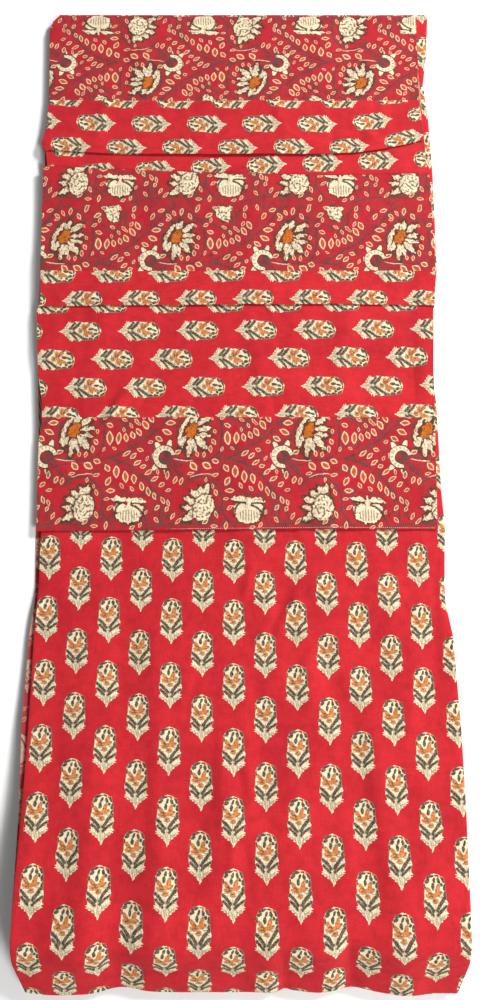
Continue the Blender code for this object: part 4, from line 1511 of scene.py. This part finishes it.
def hem_stitches(cover: PillowCover, edge_run: tuple[float, float]) -> list[StitchRow]:
    """The rows of stitches on one cover: along its opening's hem and along its near edge.

    Args:
        cover: the pillow cover.
        edge_run: where the pale thread at the near edge starts and ends, none if they are the same.

    Returns:
        The rows.
    """
    reach = np.linspace(-0.325, 0.305, 127)
    inset = cover.hem_depth - HEM_STITCH_INSET
    rows = [(x, cover.opening.at(x) + inset) for x in reach]
    line = [(x, y, float(cover.flap_top(x, np.array([y]))[0]) + FACE) for x, y in rows]
    found = [StitchRow("hem_stitches_" + cover.side, cover.node, cover.strip, np.array(line), RED_THREAD)]
    if edge_run[1] > edge_run[0]:
        reach = np.linspace(*edge_run, 90)
        rows = [(x, float(cover.near.at(x)) + EDGE_STITCH_INSET) for x in reach]
        line = [(x, y, float(cover.panel_top(x, np.array([y]))[0]) + FACE) for x, y in rows]
        found.append(StitchRow("edge_stitches_" + cover.side, cover.node, cover.strip, np.array(line),
                               PALE_THREAD, thickness=0.0009))
    return found


# The room


@dataclass(frozen=True)
class Lamp:
    """One soft square light that faces the bundle."""

    name: str
    place: tuple[float, float, float]
    size: float
    power: float


@dataclass
class Studio:
    """Pale floor, soft lights and the camera above the bundle."""

    strip: Strip
    tilt: float = 10.4
    distance: float = 1.195
    focal_pixels: float = 722.0
    frame_pixels: tuple[int, int] = (484, 1000)
    sensor: float = 36.0
    aim: tuple[float, float] = (0.0, 0.008)
    floor_reach: float = 6.0
    floor_height: float = -0.0005
    floor_colour: tuple[float, ...] = (0.86, 0.86, 0.85, 1.0)
    room_glow: float = 0.26
    lamps: tuple[Lamp, ...] = (Lamp("key", (2.8, 2.0, 2.4), 0.9, 235.0),
                               Lamp("fill", (2.2, -2.6, 2.6), 1.4, 150.0))

    def camera(self) -> None:
        """Places the camera where the photograph was taken from."""
        data = bpy.data.cameras.new("camera")
        data.lens = self.focal_pixels / self.frame_pixels[1] * self.sensor
        data.sensor_width = self.sensor
        camera = in_scene("camera", data)
        lean = math.radians(self.tilt)
        target = Vector(self.strip.placed(np.array([[*self.aim, 0.0]]))[0])
        place = target + Vector((0.0, -math.sin(lean), math.cos(lean))) * self.distance
        camera.matrix_world = Matrix.Translation(place) @ Matrix.Rotation(lean, 4, "X")
        bpy.context.scene.camera = camera

    @staticmethod
    def light(lamp: Lamp) -> None:
        """Adds a light."""
        data = bpy.data.lights.new(lamp.name, "AREA")
        data.size = lamp.size
        data.energy = lamp.power
        facing = (Vector((0.0, 0.0, 0.0)) - Vector(lamp.place)).to_track_quat("-Z", "Y")
        shining = in_scene(lamp.name, data)
        shining.matrix_world = Matrix.Translation(lamp.place) @ facing.to_matrix().to_4x4()

    def floor(self) -> None:
        """Adds the pale floor."""
        mesh = bpy.data.meshes.new("floor")
        reach, drop = self.floor_reach, self.floor_height
        mesh.from_pydata([(-reach, -reach, drop), (reach, -reach, drop), (reach, reach, drop),
                          (-reach, reach, drop)], [], [(0, 1, 2, 3)])
        finish = {"Base Color": self.floor_colour, "Roughness": 0.9}
        mesh.materials.append(NodeShop("pale_floor").finished(finish))
        floor = in_scene("floor", mesh)

    def build(self) -> None:
        """Sets up floor, lights and camera."""
        self.floor()
        self.camera()
        for lamp in self.lamps:
            self.light(lamp)
        world = bpy.data.worlds.new("soft_room")
        world.use_nodes = True
        glow = world.node_tree.nodes["Background"].inputs
        glow["Color"].default_value = (1.0, 1.0, 1.0, 1.0)
        glow["Strength"].default_value = self.room_glow
        bpy.context.scene.world = world


def far_cover(strip: Strip) -> PillowCover:
    """The pillow cover at the far end, turned round."""

    def base(x: Any, y: Any) -> Any:
        return STACK + SEAT + strip.swell(x, y)

    return PillowCover(
        name="pillow_cover_far", node="cover_far", side="far", strip=strip, base=base, tips=TipWay.RIGHT,
        far=Profile((-0.345, -0.065, 0.158, 0.270, 0.325), (0.928, 0.926, 0.926, 0.927, 0.928)),
        near=Profile((-0.345, -0.065, 0.158, 0.325), (0.280, 0.277, 0.278, 0.280)),
        opening=Profile((-0.345, -0.250, -0.065, 0.158, 0.205, 0.255, 0.295, 0.325),
                        (0.644, 0.638, 0.635, 0.636, 0.639, 0.647, 0.656, 0.664)),
        left=Profile((0.930, 0.915, 0.895, 0.745, 0.690, 0.655, 0.640, 0.600, 0.275),
                     (-0.338, -0.352, -0.358, -0.351, -0.354, -0.361, -0.352, -0.347, -0.342)),
        right=Profile((0.930, 0.745, 0.640, 0.600, 0.275), (0.325, 0.322, 0.330, 0.332, 0.326)),
        flap_print=SprigLay((-0.0205, 0.7465), 0.13), panel_print=SprigLay((0.044, 0.6140), 0.0, 0.045),
        flap_band=(0.746, 0.950, 0.906), panel_band=(-0.5, -0.4, 0.0), vine_start=(-0.071, 0.0),
        lift=0.0028, vine_stretch=0.96,
        creases=creased(
            (0.230, 0.712, 0.204, 0.664, 0.0070, -0.0022), (0.200, 0.700, 0.240, 0.668, 0.0070, 0.0018),
            (0.246, 0.742, 0.238, 0.722, 0.0060, -0.0016),
            (0.168, 0.730, 0.164, 0.655, 0.0080, -0.0014),
            (0.322, 0.900, 0.318, 0.740, 0.0060, -0.0016),
            (-0.150, 0.672, 0.120, 0.668, 0.0120, 0.0014),
            (-0.040, 0.738, -0.050, 0.650, 0.0140, -0.0014),
            (0.060, 0.742, 0.075, 0.690, 0.0100, 0.0014),
            (-0.250, 0.730, -0.262, 0.660, 0.0120, 0.0014),
            (-0.200, 0.900, -0.185, 0.780, 0.0180, 0.0014),
            (0.120, 0.900, 0.100, 0.760, 0.0180, -0.0014)))


def near_cover(strip: Strip) -> PillowCover:
    """The pillow cover that lies over the lower half of the far one."""
    step_top, step_down = 0.273, 0.045

    def base(x: Any, y: Any) -> Any:
        on_it = 1.0 - smooth_step((step_top - y) / step_down)
        return STACK + SEAT + strip.swell(x, y) + on_it * (PITCH + CLOTH + SEAT)

    return PillowCover(
        name="pillow_cover_near", node="cover_near", side="near", strip=strip, base=base, tips=TipWay.LEFT,
        far=Profile((-0.345, -0.065, 0.158, 0.325), (0.612, 0.600, 0.594, 0.598)),
        near=Profile((-0.345, -0.065, 0.158, 0.325), (-0.046, -0.044, -0.042, -0.043)),
        opening=Profile((-0.345, -0.065, 0.158, 0.325), (0.343, 0.346, 0.347, 0.345)),
        left=Profile((0.610, 0.430, 0.348, 0.338, 0.270, 0.230, 0.170, 0.130, 0.110, -0.050),
                     (-0.355, -0.350, -0.346, -0.353, -0.348, -0.346, -0.336, -0.334, -0.338, -0.335)),
        right=Profile((0.610, 0.430, 0.345, 0.335, 0.270, 0.170, -0.050),
                      (0.334, 0.336, 0.331, 0.328, 0.325, 0.324, 0.318)),
        flap_print=SprigLay((-0.0295, 0.4060), 0.0, 0.0, 0.979),
        panel_print=SprigLay((-0.0200, 0.2505), 0.121, 0.008),
        flap_band=(0.409, 0.640, 0.574), panel_band=(-0.080, 0.147, -0.010),
        vine_start=(-0.0214, 0.0098), lift=0.0016,
        creases=creased(
            (-0.190, 0.209, -0.216, 0.195, 0.0060, -0.0020),
            (-0.216, 0.195, -0.240, 0.145, 0.0065, -0.0026),
            (-0.195, 0.190, -0.216, 0.155, 0.0090, 0.0020),
            (-0.164, 0.180, -0.172, 0.140, 0.0060, -0.0014),
            (-0.308, 0.325, -0.306, 0.260, 0.0060, -0.0013),
            (0.050, 0.182, 0.054, 0.158, 0.0060, -0.0014),
            (0.228, 0.164, 0.243, 0.184, 0.0060, -0.0018),
            (0.268, 0.188, 0.300, 0.182, 0.0055, -0.0012),
            (0.290, 0.400, 0.285, 0.170, 0.0100, -0.0026), (0.305, 0.400, 0.300, 0.180, 0.0070, 0.0016),
            (0.072, 0.410, 0.070, 0.270, 0.0080, -0.0024), (0.010, 0.330, 0.030, 0.240, 0.0160, 0.0016),
            (-0.120, 0.330, -0.150, 0.230, 0.0200, -0.0016),
            (0.180, 0.320, 0.165, 0.200, 0.0180, 0.0016),
            (-0.240, 0.330, -0.260, 0.210, 0.0180, 0.0014),
            (-0.300, 0.060, 0.280, 0.050, 0.0220, 0.0010),
            (-0.160, 0.120, -0.120, -0.020, 0.0200, -0.0014),
            (0.120, 0.110, 0.140, -0.030, 0.0200, 0.0014), (0.020, 0.520, 0.000, 0.420, 0.0200, 0.0014),
            (-0.180, 0.540, -0.170, 0.430, 0.0180, -0.0014)))


def main() -> None:
    """Builds the bundle, the floor, the lights and the camera."""
    logging.basicConfig(level=logging.INFO, format="%(message)s")
    bpy.context.scene.view_settings.view_transform = "Standard"
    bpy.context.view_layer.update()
    strip = Strip()
    finishes = printed_cloth()
    FoldedSheet(strip).build(finishes)
    far, near = far_cover(strip), near_cover(strip)
    for cover, edge_run, rests_on in ((far, (0.0, 0.0), ["folded_sheet"]),
                                      (near, (-0.125, 0.314), ["folded_sheet", "pillow_cover_far"])):
        piece = cover.build(finishes)
        stitches = [row.build().name for row in hem_stitches(cover, edge_run)]
        panels = (0.67, 0.65 * 2 + cover.overlap)
        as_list(rests_on)
    Studio(strip).build()


if __name__ == "__main__":
    main()
